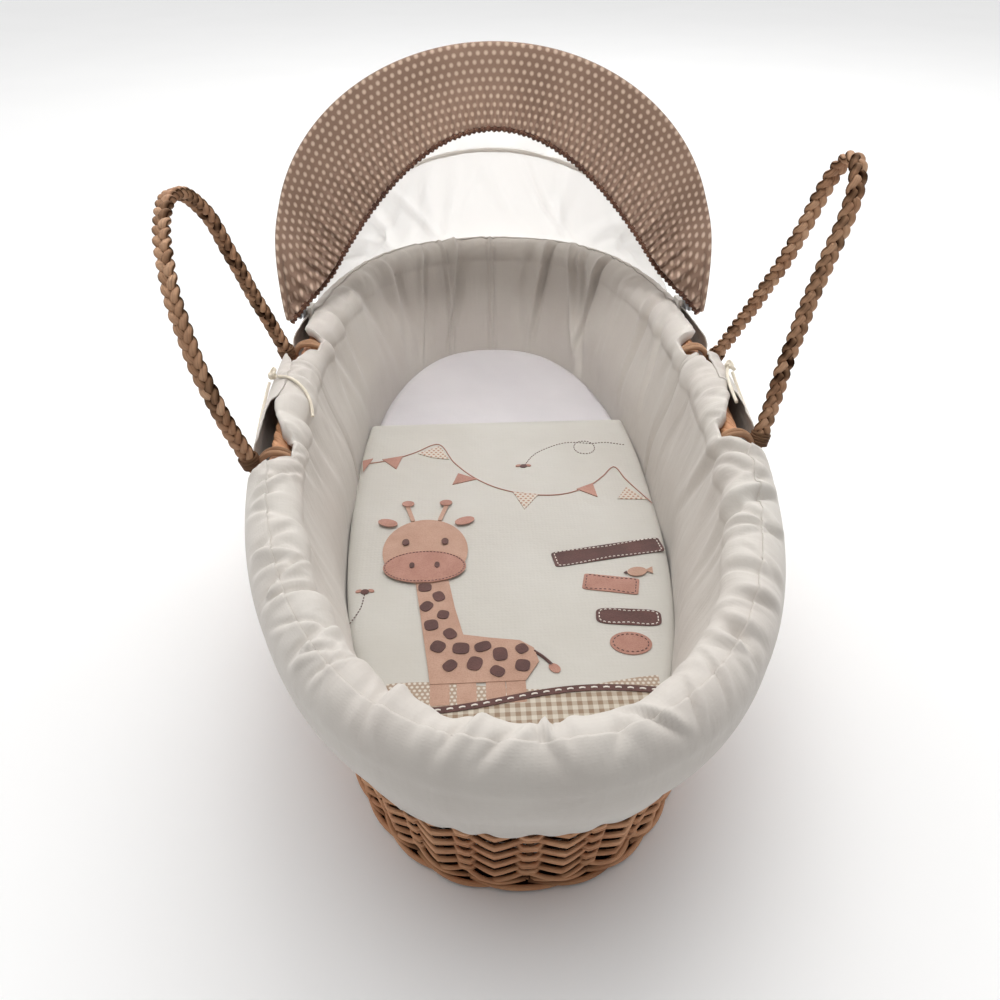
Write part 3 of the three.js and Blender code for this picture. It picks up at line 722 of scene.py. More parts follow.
# ---------------------------------------------------------------- wicker
PAIRS = 42  # pairs of stakes round the basket: weavers pass outside one and inside the next
ROW_PITCH = 0.0172
WEAVE_LOW, WEAVE_JOIN, WEAVE_HIGH = 0.0215, 0.124, 0.150  # above the join the skirt hides the rows
WALING = (0.1505, 0.1915)
# The rods inside the foot, drawn dark as painted shade: height, and how far out from the wall's middle.
CORE_RODS = [(0.0035, 0.0026), (0.0045, -0.0022), (0.0105, -0.0034), (0.0165, -0.0046), (0.0222, -0.0064)]


def standing_out(share):
    """1 where a weaver passes outside a stake, -1 where it passes inside the next one."""
    phase = 2 * math.pi * PAIRS * share
    return 0.85 * np.arcsin(np.cos(phase)) * 2 / math.pi + 0.15 * np.cos(phase)


def level_rod(share, offset, z, half_width, half_height, sides, tint, closed=True):
    """A rod that runs round the wall, with its half width outwards."""
    share, offset, z, tint = np.broadcast_arrays(share, offset, z, tint)
    t = angle_at(share)
    path = wall_point(t, offset, z)
    outer = wall_point(t, offset + 0.01, z) - path
    return sweep(path, outer, half_width, half_height, sides, closed, np.clip(tint, 0, 1))


def rows_of_weaving(low, high, steps, random):
    """Pairs of rods that bulge outside every second stake, painted lighter where they bulge; the pairs half a
    row lower pass outside the others and are painted darker where they sit back in between: painted shade."""
    strands = []
    share = np.arange(PAIRS * steps) / (PAIRS * steps)
    wave = standing_out(share)
    forward = smooth(0.10, -0.75, wave)
    count = round((high - low) / ROW_PITCH)
    pitch = (high - low) / count
    for row in range(count):
        z = low + pitch * (row + 0.5)
        drift = np.interp(share, np.linspace(0, 1, 85), np.append(random.normal(0, 0.00045, 84), 0))
        for shift in (-0.0019, 0.0019):
            # painted light: the front rods are lighter where they bulge out
            tone = random.normal(0.62, 0.10) + 0.16 * wave
            offset = 0.0010 + 0.0040 * wave - 0.0003 * (shift < 0)
            strands.append(level_rod(share, offset, z + drift + shift, 0.0017, 0.0019, 6, tone))
        below = np.maximum(z - pitch / 2 + drift, low + 0.0035)
        for shift in (-0.0020, 0.0020):
            # painted shade: the rods behind are darker where they sit back
            tone = random.normal(0.60, 0.10) - 0.80 * (1 - forward)
            offset = -0.0064 + 0.0082 * forward
            strands.append(level_rod(share, offset, below + shift, 0.0016, 0.0021, 6, tone))
    return strands


def stakes(low, high, random):
    strands = []
    z = np.linspace(low, high, 14)
    for k in range(2 * PAIRS):
        t = angle_at(np.full(len(z), k / (2 * PAIRS)))
        path = wall_point(t, -0.0006, z)
        outer = wall_point(t, 0.01, z) - path
        # painted shade: the stakes are drawn nearly black, so the gaps between the weavers look dark
        strands.append(sweep(path, outer, 0.0024, 0.0028, 8, False, float(random.uniform(0.0, 0.12))))
    return strands


def foot_border():
    """The foot: stakes bent down both ways, crossing in front of a core painted dark as shade, over long
    rods.
    """
    random = np.random.default_rng(11)
    strands = []
    share = np.arange(420) / 420
    for z, offset in CORE_RODS:
        # painted shade: the core rods are drawn black (tint 0) so that the gaps between the bent stakes look
        # dark; the lowest ones also hide the floor seen through them
        strands.append(level_rod(share, offset, z, 0.0030, 0.0032, 7, 0.0))
    way = np.linspace(0, 1, 20)
    bow = np.sin(math.pi * way)
    for k in range(PAIRS):
        column = (k + 0.5) / PAIRS
        for turn in (1, -1):
            reach = turn * (1.0 + random.uniform(-0.1, 0.1)) / PAIRS
            z = 0.0225 - 0.0140 * way ** 1.1
            offset = 0.0010 + 0.0052 * bow - 0.0012 * (turn < 0)
            # painted shade: each bent stake darkens towards its far, lower end, where it tucks under
            tone = random.uniform(0.45, 0.75) - 0.35 * (1 - bow) * (way > 0.5)
            strands.append(level_rod(column + reach * way, offset, z, 0.0019, 0.0019, 7, tone, False))
        part = column + (random.uniform(-0.1, 0.1) + 1.7 * way) / PAIRS
        z = 0.0092 - 0.0063 * way ** 0.8
        # painted shade: the long rods darken towards both ends, where they tuck in
        tone = random.uniform(0.4, 0.7) - 0.3 * (1 - bow)
        strands.append(level_rod(part, 0.0020 + 0.0054 * bow, z, 0.0023, 0.0024, 7, tone, False))
    obj = strands_object("foot_border_rods", strands, material=WICKER)
    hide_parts("foot_border")


def side_weaving():
    random = np.random.default_rng(12)
    strands = rows_of_weaving(WEAVE_LOW, WEAVE_JOIN, 12, random)
    strands += rows_of_weaving(WEAVE_JOIN, WEAVE_HIGH, 6, random)
    obj = strands_object("side_weave_rods", strands + stakes(0.012, WEAVE_HIGH, random), material=WICKER)
    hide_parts("side_weave")
    strands = rows_of_weaving(*WALING, 6, random) + stakes(WEAVE_HIGH, 0.192, random)
    obj = strands_object("upper_waling_rods", strands, material=WICKER)
    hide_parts("upper_waling")


BORDER_RODS, BORDER_TURNS, BORDER_CORE = 6, 24, 0.0056


def top_border():
    """A rolled border: rods laid round each other."""
    random = np.random.default_rng(13)
    share = np.arange(700) / 700
    t = angle_at(share)
    strands = []
    for k in range(BORDER_RODS):
        degrees = 360 * (BORDER_TURNS * share + k / BORDER_RODS)
        path = rim_point(t, BORDER_CORE, degrees)
        outer = rim_point(t, BORDER_CORE + 0.01, degrees) - path
        strands.append(sweep(path, outer, 0.0036, 0.0044, 8, True, float(random.uniform(0.25, 0.7))))
    obj = strands_object("top_border_rods", strands, material=WICKER)
    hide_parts("top_border")


def base_weaving():
    """Long sticks with rods woven across them."""
    random = np.random.default_rng(14)
    a, b, n = FOOT_OVAL
    strands, level = [], 0.010
    sticks = np.linspace(-0.135, 0.135, 13)
    for x in sticks:
        reach = (a - 0.008) * (1 - (abs(x) / (b - 0.006)) ** n) ** (1 / n)
        path = np.stack([np.full(20, x), np.linspace(-reach, reach, 20), np.full(20, level)], -1)
        strands.append(sweep(path, (1, 0, 0), 0.0042, 0.0032, 8, False, float(random.uniform(0.3, 0.6))))
    gap = sticks[1] - sticks[0]
    for k, y in enumerate(np.arange(-0.350, 0.351, 0.0086)):
        reach = (b - 0.008) * max(0.02, 1 - (abs(y) / (a - 0.006)) ** n) ** (1 / n)
        x = np.linspace(-reach, reach, 64)
        z = level + 0.0052 * np.cos(math.pi * x / gap + math.pi * (k % 2))
        path = np.stack([x, np.full(64, y), z], -1)
        strands.append(sweep(path, (0, 1, 0), 0.0038, 0.0026, 6, False, float(random.uniform(0.3, 0.7))))
    obj = strands_object("base_rods", strands, material=WICKER)
    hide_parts("base_weave")


# ---------------------------------------------------------------- liner
AROUND = 900  # steps round the liner
LONG_FOLDS, PUCKERS = 58, 190
SEAMS = (0.249, 0.283, 0.02, 0.48, 0.752)  # shares of the way round, from the right-hand middle
SEAM_WIDTH = 0.0018
PAD_LOW, PAD_HIGH = 0.0215, RIM_HEIGHT - 0.0036  # where the padded wall starts, and where the roll takes over
PAD_BACK = -0.0100  # the pad's hidden face, from the wall's middle
ROLL_START = 190.0  # degrees, where the roll leaves the padded wall
PAD_ROWS = (50, 36)  # on the wall, and over the roll


def eye_places():
    return [way_of(h["side"], y) for h in HANDLES.values() for y in (h["foot"], h["head"])]


def opening_shares(way):
    """How far each place round the border lies inside a slit, inside a handle's slot in the skirt, and
    inside the wedge that opens in the pad from each handle towards the tie."""
    slit = np.zeros_like(way)
    for side in (-1, 1):
        for low, high in SLITS:
            a, b = sorted((way_of(side, low), way_of(side, high)))
            if b - a > PERIMETER / 2:
                a, b = b, a + PERIMETER
            distance = np.abs(round_distance(way, (a + b) / 2))
            slit = np.maximum(slit, 1 - smooth((b - a) / 2 - 0.045, (b - a) / 2, distance))
    eye, wedge = np.zeros_like(way), np.zeros_like(way)
    for spec in HANDLES.values():
        middle = way_of(spec["side"], TIE_Y)
        for y in (spec["foot"], spec["head"]):
            place = way_of(spec["side"], y)
            apart = round_distance(way, place) * np.sign(round_distance(middle, place))
            eye = np.maximum(eye, 1 - smooth(0.0130, 0.0260, np.abs(apart)))
            wedge = np.maximum(wedge, np.where(apart > 0, 1 - smooth(0.010, 0.075, apart),
                                               1 - smooth(0.010, 0.022, -apart)))
    return slit, eye, wedge


def crease(way, down, place, slant, width, depth, first, last, fade):
    """One fold in the gathered cloth: a valley with a soft ridge beside it."""
    x = round_distance(way, place + slant * down) / width
    reach = smooth(first - 0.014, first + 0.010, down) * (1 - smooth(last - fade, last, down))
    return depth * reach * (0.7 * np.exp(-((x - 1.6) / 1.3) ** 2) - np.exp(-x ** 2))


def pad_folds(way, down):
    """Folds of the padded liner. down is measured over the roll: 0 at the crest, more inside."""
    random = np.random.default_rng(21)
    height = np.zeros_like(down)
    head, foot = PERIMETER / 4, PERIMETER * 3 / 4
    for k in range(LONG_FOLDS):
        place = (k + random.uniform(-0.8, 0.8)) / LONG_FOLDS * PERIMETER
        near_head = 1 - smooth(0.18, 0.50, abs(round_distance(place, head)))
        depth = (0.0040 + 0.0036 * near_head) * random.uniform(0.15, 1.25) ** 1.5
        last = random.uniform(0.08, 0.15) + 0.08 * near_head
        lean = random.uniform(-0.38, 0.38) - 0.5 * round_distance(place, head) * near_head
        width = random.uniform(0.0045, 0.0110)
        height += crease(way, down, place, lean, width, depth, 0.004, last, last * 0.8)
    for k in range(PUCKERS):
        place = (k + random.uniform(-0.8, 0.8)) / PUCKERS * PERIMETER
        near_foot = 1 - smooth(0.30, 0.60, abs(round_distance(place, foot)))
        depth = (0.0006 + 0.0030 * near_foot) * random.uniform(0.1, 1.25) ** 1.3
        height += crease(way, down, place, random.uniform(-0.8, 0.8), random.uniform(0.0024, 0.0056),
                         depth, -0.014, random.uniform(0.012, 0.040), 0.026)
    for place in SEAMS:
        x = np.abs(round_distance(way, place * PERIMETER)) / SEAM_WIDTH
        ridge = 0.0016 * np.exp(-x ** 2) - 0.0026 * np.exp(-((x - 2.4) / 1.2) ** 2)
        height += ridge * smooth(-0.012, 0.002, down)
    slow = np.sin(way * 41 + 1.3) * np.sin(way * 17 + 0.4) + 0.6 * np.sin(way * 23 + down * 30)
    return height + 0.0014 * slow * smooth(0.0, 0.05, down)


def pad_shape(edge):
    """The pad's visible rows before it is folded: offset, level, lift, distance down, and the way its
    surface faces (outwards and upwards)."""
    wall, roll = PAD_ROWS
    rows = wall + roll
    offset, lift, down, upward = (np.zeros((AROUND, rows)) for _ in range(4))
    level, out = np.full((AROUND, rows), RIM_HEIGHT), np.full((AROUND, rows), -1.0)
    k = np.linspace(0, 1, wall, endpoint=False)
    offset[:, :wall] = PAD_FACE - 0.0060 * np.sin(math.pi * smooth(0.25, 1.0, k) ** 0.9)
    level[:, :wall] = PAD_LOW + (PAD_HIGH - PAD_LOW) * k
    down[:, :wall] = 0.0366 + 0.179 * (1 - k)
    j = np.linspace(0, 1, roll)
    degrees = ROLL_START + (edge[:, None] - ROLL_START) * j
    puff = 0.0005 * smooth(40, 100, degrees) * smooth(165, 110, degrees)
    radius = ROLL_RADIUS + 0.0001 + puff - smooth(0.93, 1.0, j) * 0.0022
    out[:, wall:] = np.cos(np.radians(degrees))
    upward[:, wall:] = np.sin(np.radians(degrees))
    offset[:, wall:] = radius * out[:, wall:]
    lift[:, wall:] = radius * upward[:, wall:]
    down[:, wall:] = (degrees - 90) / 180 * math.pi * ROLL_RADIUS
    return offset, level, lift, down, out, upward


def pad_hidden(way, t, edge):
    """The pad's hidden rows: back round the border, then down behind the padded wall."""
    at_eye = [1 - smooth(0.009, 0.016, np.abs(round_distance(way, place))) for place in eye_places()]
    core = 0.0122 + 0.0068 * np.maximum.reduce(at_eye)
    rows = [rim_point(t, core, edge + (200 - edge) * share) for share in np.linspace(0, 1, 9)]
    rows += [wall_point(t, PAD_BACK, np.full(AROUND, z)) for z in (0.180, 0.022)]
    return np.stack(rows, 1)


def liner_pad():
    """The padded liner: its wall inside the basket, and the roll over the border, open at the slits."""
    way = np.arange(AROUND) / AROUND * PERIMETER
    t = angle_at(way / PERIMETER)
    slit, eye, wedge = opening_shares(way)
    edge = 56 + 6 * slit + (52 - 6 * slit) * np.maximum(eye, wedge) + 24 * eye
    offset, level, lift, down, out, upward = pad_shape(edge)
    fold = pad_folds(way[:, None] + 0 * down, down)
    fold *= smooth(0.212, 0.150, down) * (1 - 0.85 * eye[:, None] * smooth(0.03, 0.0, down))
    offset += fold * out
    lift += fold * upward
    visible = wall_point(t[:, None] + 0 * offset, offset, level, lift)
    points = np.concatenate([visible, pad_hidden(way, t, edge)], 1)
    total = points.shape[1]
    u = np.append(way, PERIMETER)[:, None] + np.zeros((1, total + 1))
    across = np.concatenate([down[0], np.linspace(-0.03, -0.25, total + 1 - sum(PAD_ROWS))])
    obj = ring_object("liner_pad_cloth", points, u, np.broadcast_to(across, u.shape), material=IVORY)
    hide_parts("liner_pad")


HEM_GATHERS = 84
HEM_OUT = 0.0098  # how far the skirt's hem stands out from the wall's middle
SKIRT_SEAM = 0.705  # share of the way round
SKIRT_ROWS = (20, 26)  # over the roll, and below it


def hem_waves(way, fall, random):
    """How the gathered hem rises and dips, and how its gathers stand in and out above it."""
    hem = np.zeros_like(way)
    ripple = np.zeros((len(way), len(fall)))
    for k in range(HEM_GATHERS):
        place = (k + random.uniform(-0.35, 0.35)) / HEM_GATHERS * PERIMETER
        hump = np.exp(-(round_distance(way, place) / random.uniform(0.003, 0.009)) ** 2)
        size = random.uniform(0.1, 1.0) ** 2
        hem += 0.0034 * size * hump
        ripple -= 0.0020 * size * hump[:, None] * smooth(0.66, 1.0, fall)[None, :]
    for _ in range(18):
        hump = np.exp(-(round_distance(way, random.uniform(0, PERIMETER)) / 0.024) ** 2)
        hem += random.uniform(-0.003, 0.002) * hump
        ripple += random.uniform(-0.0018, 0.0018) * hump[:, None] * np.sin(math.pi * fall)[None, :]
    return hem, ripple


def skirt_roll(way, t, top, turn, eye):
    """The skirt's upper rows, from its seam near the crest down over the roll."""
    j = np.linspace(0, 1, SKIRT_ROWS[0], endpoint=False)
    degrees = top[:, None] + (turn - top)[:, None] * j
    over = (degrees - 90) / 180 * math.pi * ROLL_RADIUS
    folds = pad_folds(way[:, None] + 0 * over, over) * (1 - eye[:, None])
    radius = SKIRT_RADIUS + 0.0001 - 0.0006 * smooth(38, 82, degrees) + folds
    return wall_point(t[:, None] + 0 * degrees, radius * np.cos(np.radians(degrees)),
                      RIM_HEIGHT + 0 * degrees, radius * np.sin(np.radians(degrees)))


def skirt_drop(way, t, turn):
    """The skirt's lower rows, from the roll's outer side down to the hem."""
    fall = np.linspace(0, 1, SKIRT_ROWS[1])
    hem, ripple = hem_waves(way, fall, np.random.default_rng(22))
    start = np.radians(turn)
    first_out, first_z = SKIRT_RADIUS * np.cos(start), RIM_HEIGHT + SKIRT_RADIUS * np.sin(start)
    low_z = HEM_HEIGHT + hem - 0.0015
    level = first_z[:, None] + (low_z - first_z)[:, None] * fall
    belly = 0.0035 * np.sin(math.pi * np.minimum(1, fall * 1.15))
    seam_way = round_distance(way, SKIRT_SEAM * PERIMETER)[:, None] - 0.12 * (1 - fall[None, :]) ** 1.8
    seam = 0.0008 * np.exp(-(seam_way / 0.0012) ** 2)
    offset = HEM_OUT + (first_out - HEM_OUT)[:, None] * (1 - fall) ** 1.25 + belly[None, :] + ripple + seam
    offset[:, -1] -= 0.0012
    oval_level = RIM_HEIGHT + (level - RIM_HEIGHT) * smooth(RIM_HEIGHT - 0.005, RIM_HEIGHT - 0.06, level)
    return wall_point(t[:, None] + 0 * offset, offset, oval_level, level - oval_level)


def liner_skirt():
    """The outer skirt: sewn on near the crest, smooth over the roll, gathered by its elastic hem."""
    way = np.arange(AROUND) / AROUND * PERIMETER
    t = angle_at(way / PERIMETER)
    slit, eye, _ = opening_shares(way)
    top = 80 - 40 * slit * (1 - eye) - 148 * eye
    turn = np.minimum(-12, top - 4)
    points = np.concatenate([skirt_roll(way, t, top, turn, eye), skirt_drop(way, t, turn)], 1)
    u = np.append(way, PERIMETER)[:, None] + np.zeros((1, sum(SKIRT_ROWS)))
    v = np.broadcast_to(np.linspace(0, 0.15, sum(SKIRT_ROWS)), u.shape)
    obj = shell_object("liner_skirt_cloth", points, u, v, 0.0012, True, material=IVORY)
    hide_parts("liner_skirt")


def hem_elastic():
    """The band inside the hem's channel."""
    share = np.arange(600) / 600
    band = level_rod(share, HEM_BAND["offset"], HEM_HEIGHT + HEM_BAND["above"], 0.0008, 0.0024, 8, 0.5)
    elastic = strands_object("hem_elastic_band", [band], material=ELASTIC)
    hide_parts("hem_elastic")


# ---------------------------------------------------------------- bedding
def bedding_oval(z):
    a, b, n = wall_oval(z)
    return a + BEDDING_INSET, b + BEDDING_INSET, n


def soft_slab(name, material, low, high, edge, inset=0.0, head_edge=None, wrinkles=None):
    """A closed slab in the shape of the bedding, with rounded edges."""
    a, b, n = bedding_oval((low + high) / 2)
    a, b = a - inset, b - inset
    limit = math.pi / 2 if head_edge is None else math.asin(signed_power(head_edge / a, n / 2))
    t = np.linspace(-math.pi / 2 + 0.02, limit - (0.02 if head_edge is None else 0), 150)
    x, y = oval_point((a, b, n), 0, t)
    c = np.sin(np.linspace(-math.pi / 2, math.pi / 2, 90))
    px, py = x[:, None] * c, y[:, None] + 0 * c
    way = 1 - ((np.abs(px) / b) ** n + (np.abs(py) / a) ** n) ** (1 / n)
    from_side = np.maximum(way, 0) * (b + (a - b) * (np.abs(py) / a) ** 3)
    distance = from_side if head_edge is None else np.minimum(from_side, head_edge - py)
    near = np.clip(distance / edge, 0, 1)
    profile = np.sqrt(np.maximum(0, 1 - (1 - near) ** 2))
    middle = (low + high) / 2
    top = middle + (high - middle) * profile
    if wrinkles is not None:
        top = top + wrinkles(px, py) * smooth(0, 0.02, distance)
    bottom = middle - (middle - low) * profile
    upper, lower = np.stack([px, py, top], -1), np.stack([px, py, bottom], -1)
    return two_faced(name, upper, lower, px, py, material=material)


def quilt_waves(x, y):
    return (0.0007 * np.sin(x * 31 + 0.7) * np.sin(y * 23 + 1.1) + 0.0005 * np.sin(x * 13 - y * 37 + 0.5)
            + 0.0006 * np.sin(y * 52 + 2 * np.sin(x * 9)) * smooth(0.02, 0.12, y))


def quilt_height(x, y):
    return QUILT_TOP - 0.0008 + quilt_waves(x, y)


def sheet_wrinkles(x, y):
    return 0.0003 * np.sin(x * 40 + 3 * np.sin(y * 30)) + 0.0003 * np.sin(y * 45 + x * 20)


def bedding():
    pad = soft_slab("mattress_form", TICKING, 0.0226, MATTRESS_TOP - 0.0010, 0.016, 0.0016)
    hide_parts("mattress")
    fitted_sheet()
    quilt = soft_slab("quilt_form", QUILTING, QUILT_LOW, QUILT_TOP - 0.0008, 0.014, 0.0, QUILT_HEAD_EDGE,
                      quilt_waves)
    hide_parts("quilt")
    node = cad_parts["liner_floor"]
    node.data.materials.clear()
    node.data.materials.append(IVORY)
    quilt_pictures()


def fitted_sheet():
    """The sheet stretched over the mattress: its top, rounded edge and the drop at the sides."""
    turns, rings = 220, 46
    t = whole_turn(turns)
    share = np.arange(rings) / (rings - 1)
    flat_part = np.minimum(1, share / 0.72)
    edge = np.clip((share - 0.72) / 0.16, 0, 1)
    drop = np.clip((share - 0.88) / 0.12, 0, 1)
    radius = 0.010
    a, b, n = bedding_oval(MATTRESS_TOP)
    grid = np.zeros((turns, rings, 3))
    for k in range(rings):
        scale = max(1e-3, flat_part[k])
        shrink = -radius + radius * math.sin(edge[k] * math.pi / 2)
        x, y = oval_point((a + shrink, b + shrink, n), 0, t)
        z = MATTRESS_TOP + 0.0006 - radius * (1 - math.cos(edge[k] * math.pi / 2)) - 0.030 * drop[k]
        x, y = x * scale, y * scale
        grid[:, k] = np.stack([x, y, z + sheet_wrinkles(x, y) * (1 - edge[k])], -1)
    u = np.concatenate([grid[..., 0], grid[:1, :, 0]])
    v = np.concatenate([grid[..., 1], grid[:1, :, 1]])
    obj = shell_object("fitted_sheet_cloth", grid, u, v, 0.0005, True, material=SHEETING)
    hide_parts("fitted_sheet")


# ---------------------------------------------------------------- pictures sewn on the quilt
def turned(x, y, px, py, turn):
    """An outline turned by some degrees and moved to its place."""
    c, s = math.cos(math.radians(turn)), math.sin(math.radians(turn))
    return np.stack([x + px * c - py * s, y + px * s + py * c], -1)


def ellipse(x, y, half_x, half_y, turn=0.0, steps=36):
    angle = whole_turn(steps)
    return turned(x, y, half_x * np.cos(angle), half_y * np.sin(angle), turn)


def polygon(*corners):
    return np.array(corners, float)


def strip(x, y, length, width, turn, roundness=0.16):
    """A tilted patch: a superellipse, nearly square at the corners unless a rounder one is asked for."""
    angle = whole_turn(48)
    px = length / 2 * signed_power(np.cos(angle), roundness)
    return turned(x, y, px, width / 2 * signed_power(np.sin(angle), roundness), turn)


LONGEST_EDGE = 0.009  # patches are cut finer than this, so that they follow the quilt


def patches(name, outlines, material, lift=0.0003, thickness=0.0008):
    """Flat cut-outs that follow the quilt's surface, each with a real thickness."""
    work = bmesh.new()
    for outline in outlines:
        verts = [work.verts.new((x, y, 0)) for x, y in outline]
        work.faces.new(verts)
    bmesh.ops.triangulate(work, faces=work.faces[:])
    for _ in range(4):
        long_edges = [e for e in work.edges if e.calc_length() > LONGEST_EDGE]
        if not long_edges:
            break
        bmesh.ops.subdivide_edges(work, edges=long_edges, cuts=1)
        bmesh.ops.triangulate(work, faces=work.faces[:])
    work.normal_update()
    down = [f for f in work.faces if f.normal.z < 0]
    bmesh.ops.reverse_faces(work, faces=down)
    for v in work.verts:
        v.co.z = float(quilt_height(v.co.x, v.co.y)) + lift
    mesh = bpy.data.meshes.new(name)
    work.to_mesh(mesh)
    work.free()
    layer = mesh.uv_layers.new(name="UVMap")
    for loop in mesh.loops:
        x, y, _ = mesh.vertices[loop.vertex_index].co
        layer.data[loop.index].uv = (x, y)
    mesh.materials.append(material)
    obj = linked(name, mesh)
    solid = obj.modifiers.new("thickness", "SOLIDIFY")
    solid.thickness, solid.offset = thickness, 1.0
    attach(obj, "basket")
    return obj


def closed(outline):
    return np.vstack([outline, outline[:1]])


def inset_outline(outline, amount):
    middle = outline.mean(0)
    away = outline - middle
    return middle + away * (1 - amount / np.maximum(np.linalg.norm(away, axis=1), 1e-6))[:, None]


def on_quilt(line, lift):
    x, y = line[:, 0], line[:, 1]
    return np.stack([x, y, quilt_height(x, y) + lift], -1)


def stitches(lines, lift, pitch, size):
    """Running stitches along lines: short rounded dashes that dip at both ends."""
    made = []
    for line in lines:
        path = on_quilt(line, lift)
        count = max(2, int(length_of(path) / pitch))
        dense = resampled(path, count * 6)
        for k in range(count):
            dash = dense[k * 6:k * 6 + 4].copy()
            dash[[0, -1], 2] -= size * 0.8
            made.append(sweep(dash, (0, 0, 1), size * 0.7, size, 5, False))
    return made


def threads(name, strands, material):
    obj = strands_object(name, strands, material=material)


def wave_line(points, count=60):
    line = curve_through([(x, y, 0) for x, y in points], count)
    return line[:, :2]


def giraffe():
    """A plain toy giraffe in felt, made of simple rounded shapes, with round blotches."""
    legs = [strip(x, -0.256, 0.030, 0.0155, 90) for x in (-0.062, -0.041, -0.018, -0.002)]
    trunk = polygon((-0.086, -0.126), (-0.056, -0.126), (-0.050, -0.165), (-0.043, -0.198), (-0.020, -0.203),
                    (0.004, -0.207), (0.015, -0.216), (0.018, -0.231), (0.006, -0.250), (-0.070, -0.250),
                    (-0.073, -0.225), (-0.080, -0.170))
    head = ellipse(-0.0775, -0.088, 0.0400, 0.0460, 0, 48)
    horns = [strip(-0.094, -0.030, 0.028, 0.0042, 105), strip(-0.061, -0.030, 0.028, 0.0042, 75)]
    patches("picture_legs", legs, FELT_TAN, 0.0002)
    patches("picture_body", [trunk], FELT_TAN, 0.0008)
    patches("picture_head", [head, *horns], FELT_TAN, 0.0016)
    pink = [ellipse(-0.0965, -0.015, 0.0062, 0.0046), ellipse(-0.0585, -0.015, 0.0062, 0.0046),
            ellipse(-0.1150, -0.046, 0.0100, 0.0056, -20), ellipse(-0.0400, -0.046, 0.0100, 0.0056, 20),
            ellipse(-0.0775, -0.112, 0.0380, 0.0215, 0, 48)]
    patches("picture_muzzle_and_ears", pink, FELT_PINK, 0.0026)
    dark = [ellipse(-0.0960, -0.078, 0.0034, 0.0044), ellipse(-0.0590, -0.078, 0.0034, 0.0044),
            ellipse(-0.0890, -0.111, 0.0024, 0.0036), ellipse(-0.0660, -0.111, 0.0024, 0.0036)]
    patches("picture_eyes", dark, FELT_BROWN, 0.0036)
    spots = [(-0.0765, -0.139, 6, 5), (-0.0640, -0.151, 5, 6), (-0.0745, -0.163, 6, 5),
             (-0.0600, -0.174, 5, 5), (-0.0700, -0.186, 6, 6), (-0.0540, -0.197, 6, 5),
             (-0.0640, -0.211, 6, 6), (-0.0450, -0.214, 7, 6), (-0.0270, -0.213, 7, 5),
             (-0.0540, -0.232, 6, 5), (-0.0340, -0.231, 7, 6), (-0.0130, -0.222, 7, 6),
             (0.0050, -0.217, 5, 5), (-0.0160, -0.240, 6, 5), (0.0045, -0.235, 6, 6)]
    blotches = [strip(x, y, 2 * a * MM, 2 * b * MM, 25 * k, 0.7) for k, (x, y, a, b) in enumerate(spots)]
    patches("picture_spots", blotches, FELT_BROWN, 0.0018)
    tail = wave_line([(0.015, -0.219), (0.022, -0.226), (0.028, -0.234)], 12)
    patches("picture_tail_tuft", [ellipse(0.030, -0.238, 0.0055, 0.0040, -50)], FELT_PINK)
    lines = stitches([closed(inset_outline(pink[-1], 0.0016))], 0.0038, 0.0032, 0.00045)
    lines.append(sweep(on_quilt(tail, 0.0008), (0, 0, 1), 0.0012, 0.0014, 6, False))
    threads("picture_edge_stitching", lines, FELT_BROWN)


def bunting():
    """A string of pennants across the quilt, and two small flying insects with dashed trails."""
    string = [(-0.148, 0.060), (-0.122, 0.066), (-0.095, 0.079), (-0.068, 0.096), (-0.050, 0.060),
              (-0.028, 0.030), (-0.002, 0.008), (0.030, -0.004), (0.062, -0.004), (0.090, 0.010),
              (0.106, 0.026), (0.121, 0.044), (0.130, 0.020), (0.142, -0.006), (0.150, -0.022)]
    line = wave_line(string, 150)
    patches("pennants_plain", [
        polygon((-0.128, 0.068), (-0.106, 0.074), (-0.112, 0.050)),
        polygon((-0.046, 0.040), (-0.026, 0.028), (-0.052, 0.020)),
        polygon((0.076, 0.004), (0.094, 0.014), (0.096, -0.010)),
        polygon((-0.149, 0.066), (-0.138, 0.070), (-0.147, 0.046)),
    ], FELT_PINK)
    patches("pennants_dotted", [
        polygon((-0.090, 0.078), (-0.066, 0.092), (-0.056, 0.066), (-0.074, 0.070)),
        polygon((0.010, 0.002), (0.036, -0.004), (0.020, -0.028)),
        polygon((0.116, -0.014), (0.128, 0.006), (0.146, -0.016)),
    ], PRINT)
    threads("bunting_string", [sweep(on_quilt(line, 0.0006), (0, 0, 1), 0.0006, 0.0007, 6, False)], FELT_PINK)
    angle = np.linspace(0.6, 0.6 - 2 * math.pi, 20)
    loop = [(0.094 + 0.0115 * math.cos(a), 0.0835 + 0.0125 * math.sin(a)) for a in angle]
    before = wave_line([(0.026, 0.052), (0.036, 0.070), (0.052, 0.084), (0.076, 0.094), loop[0]], 30)
    after = wave_line([loop[-1], (0.118, 0.092), (0.140, 0.086)], 16)
    trail = np.vstack([before, np.array(loop), after])
    second = wave_line([(-0.130, -0.143), (-0.132, -0.160), (-0.140, -0.180)], 16)
    threads("insect_trails", stitches([trail, second], 0.0006, 0.0034, 0.00055), FELT_BROWN)
    bodies = [ellipse(0.024, 0.049, 0.0040, 0.0030), ellipse(-0.130, -0.140, 0.0038, 0.0030)]
    patches("insects", bodies, FELT_BROWN)
    wings = [(0.0185, 0.0500, 20), (0.0295, 0.0500, -20), (-0.1355, -0.1390, 20), (-0.1245, -0.1390, -20)]
    patches("insect_wings", [ellipse(x, y, 0.0030, 0.0018, turn) for x, y, turn in wings], FELT_PINK)


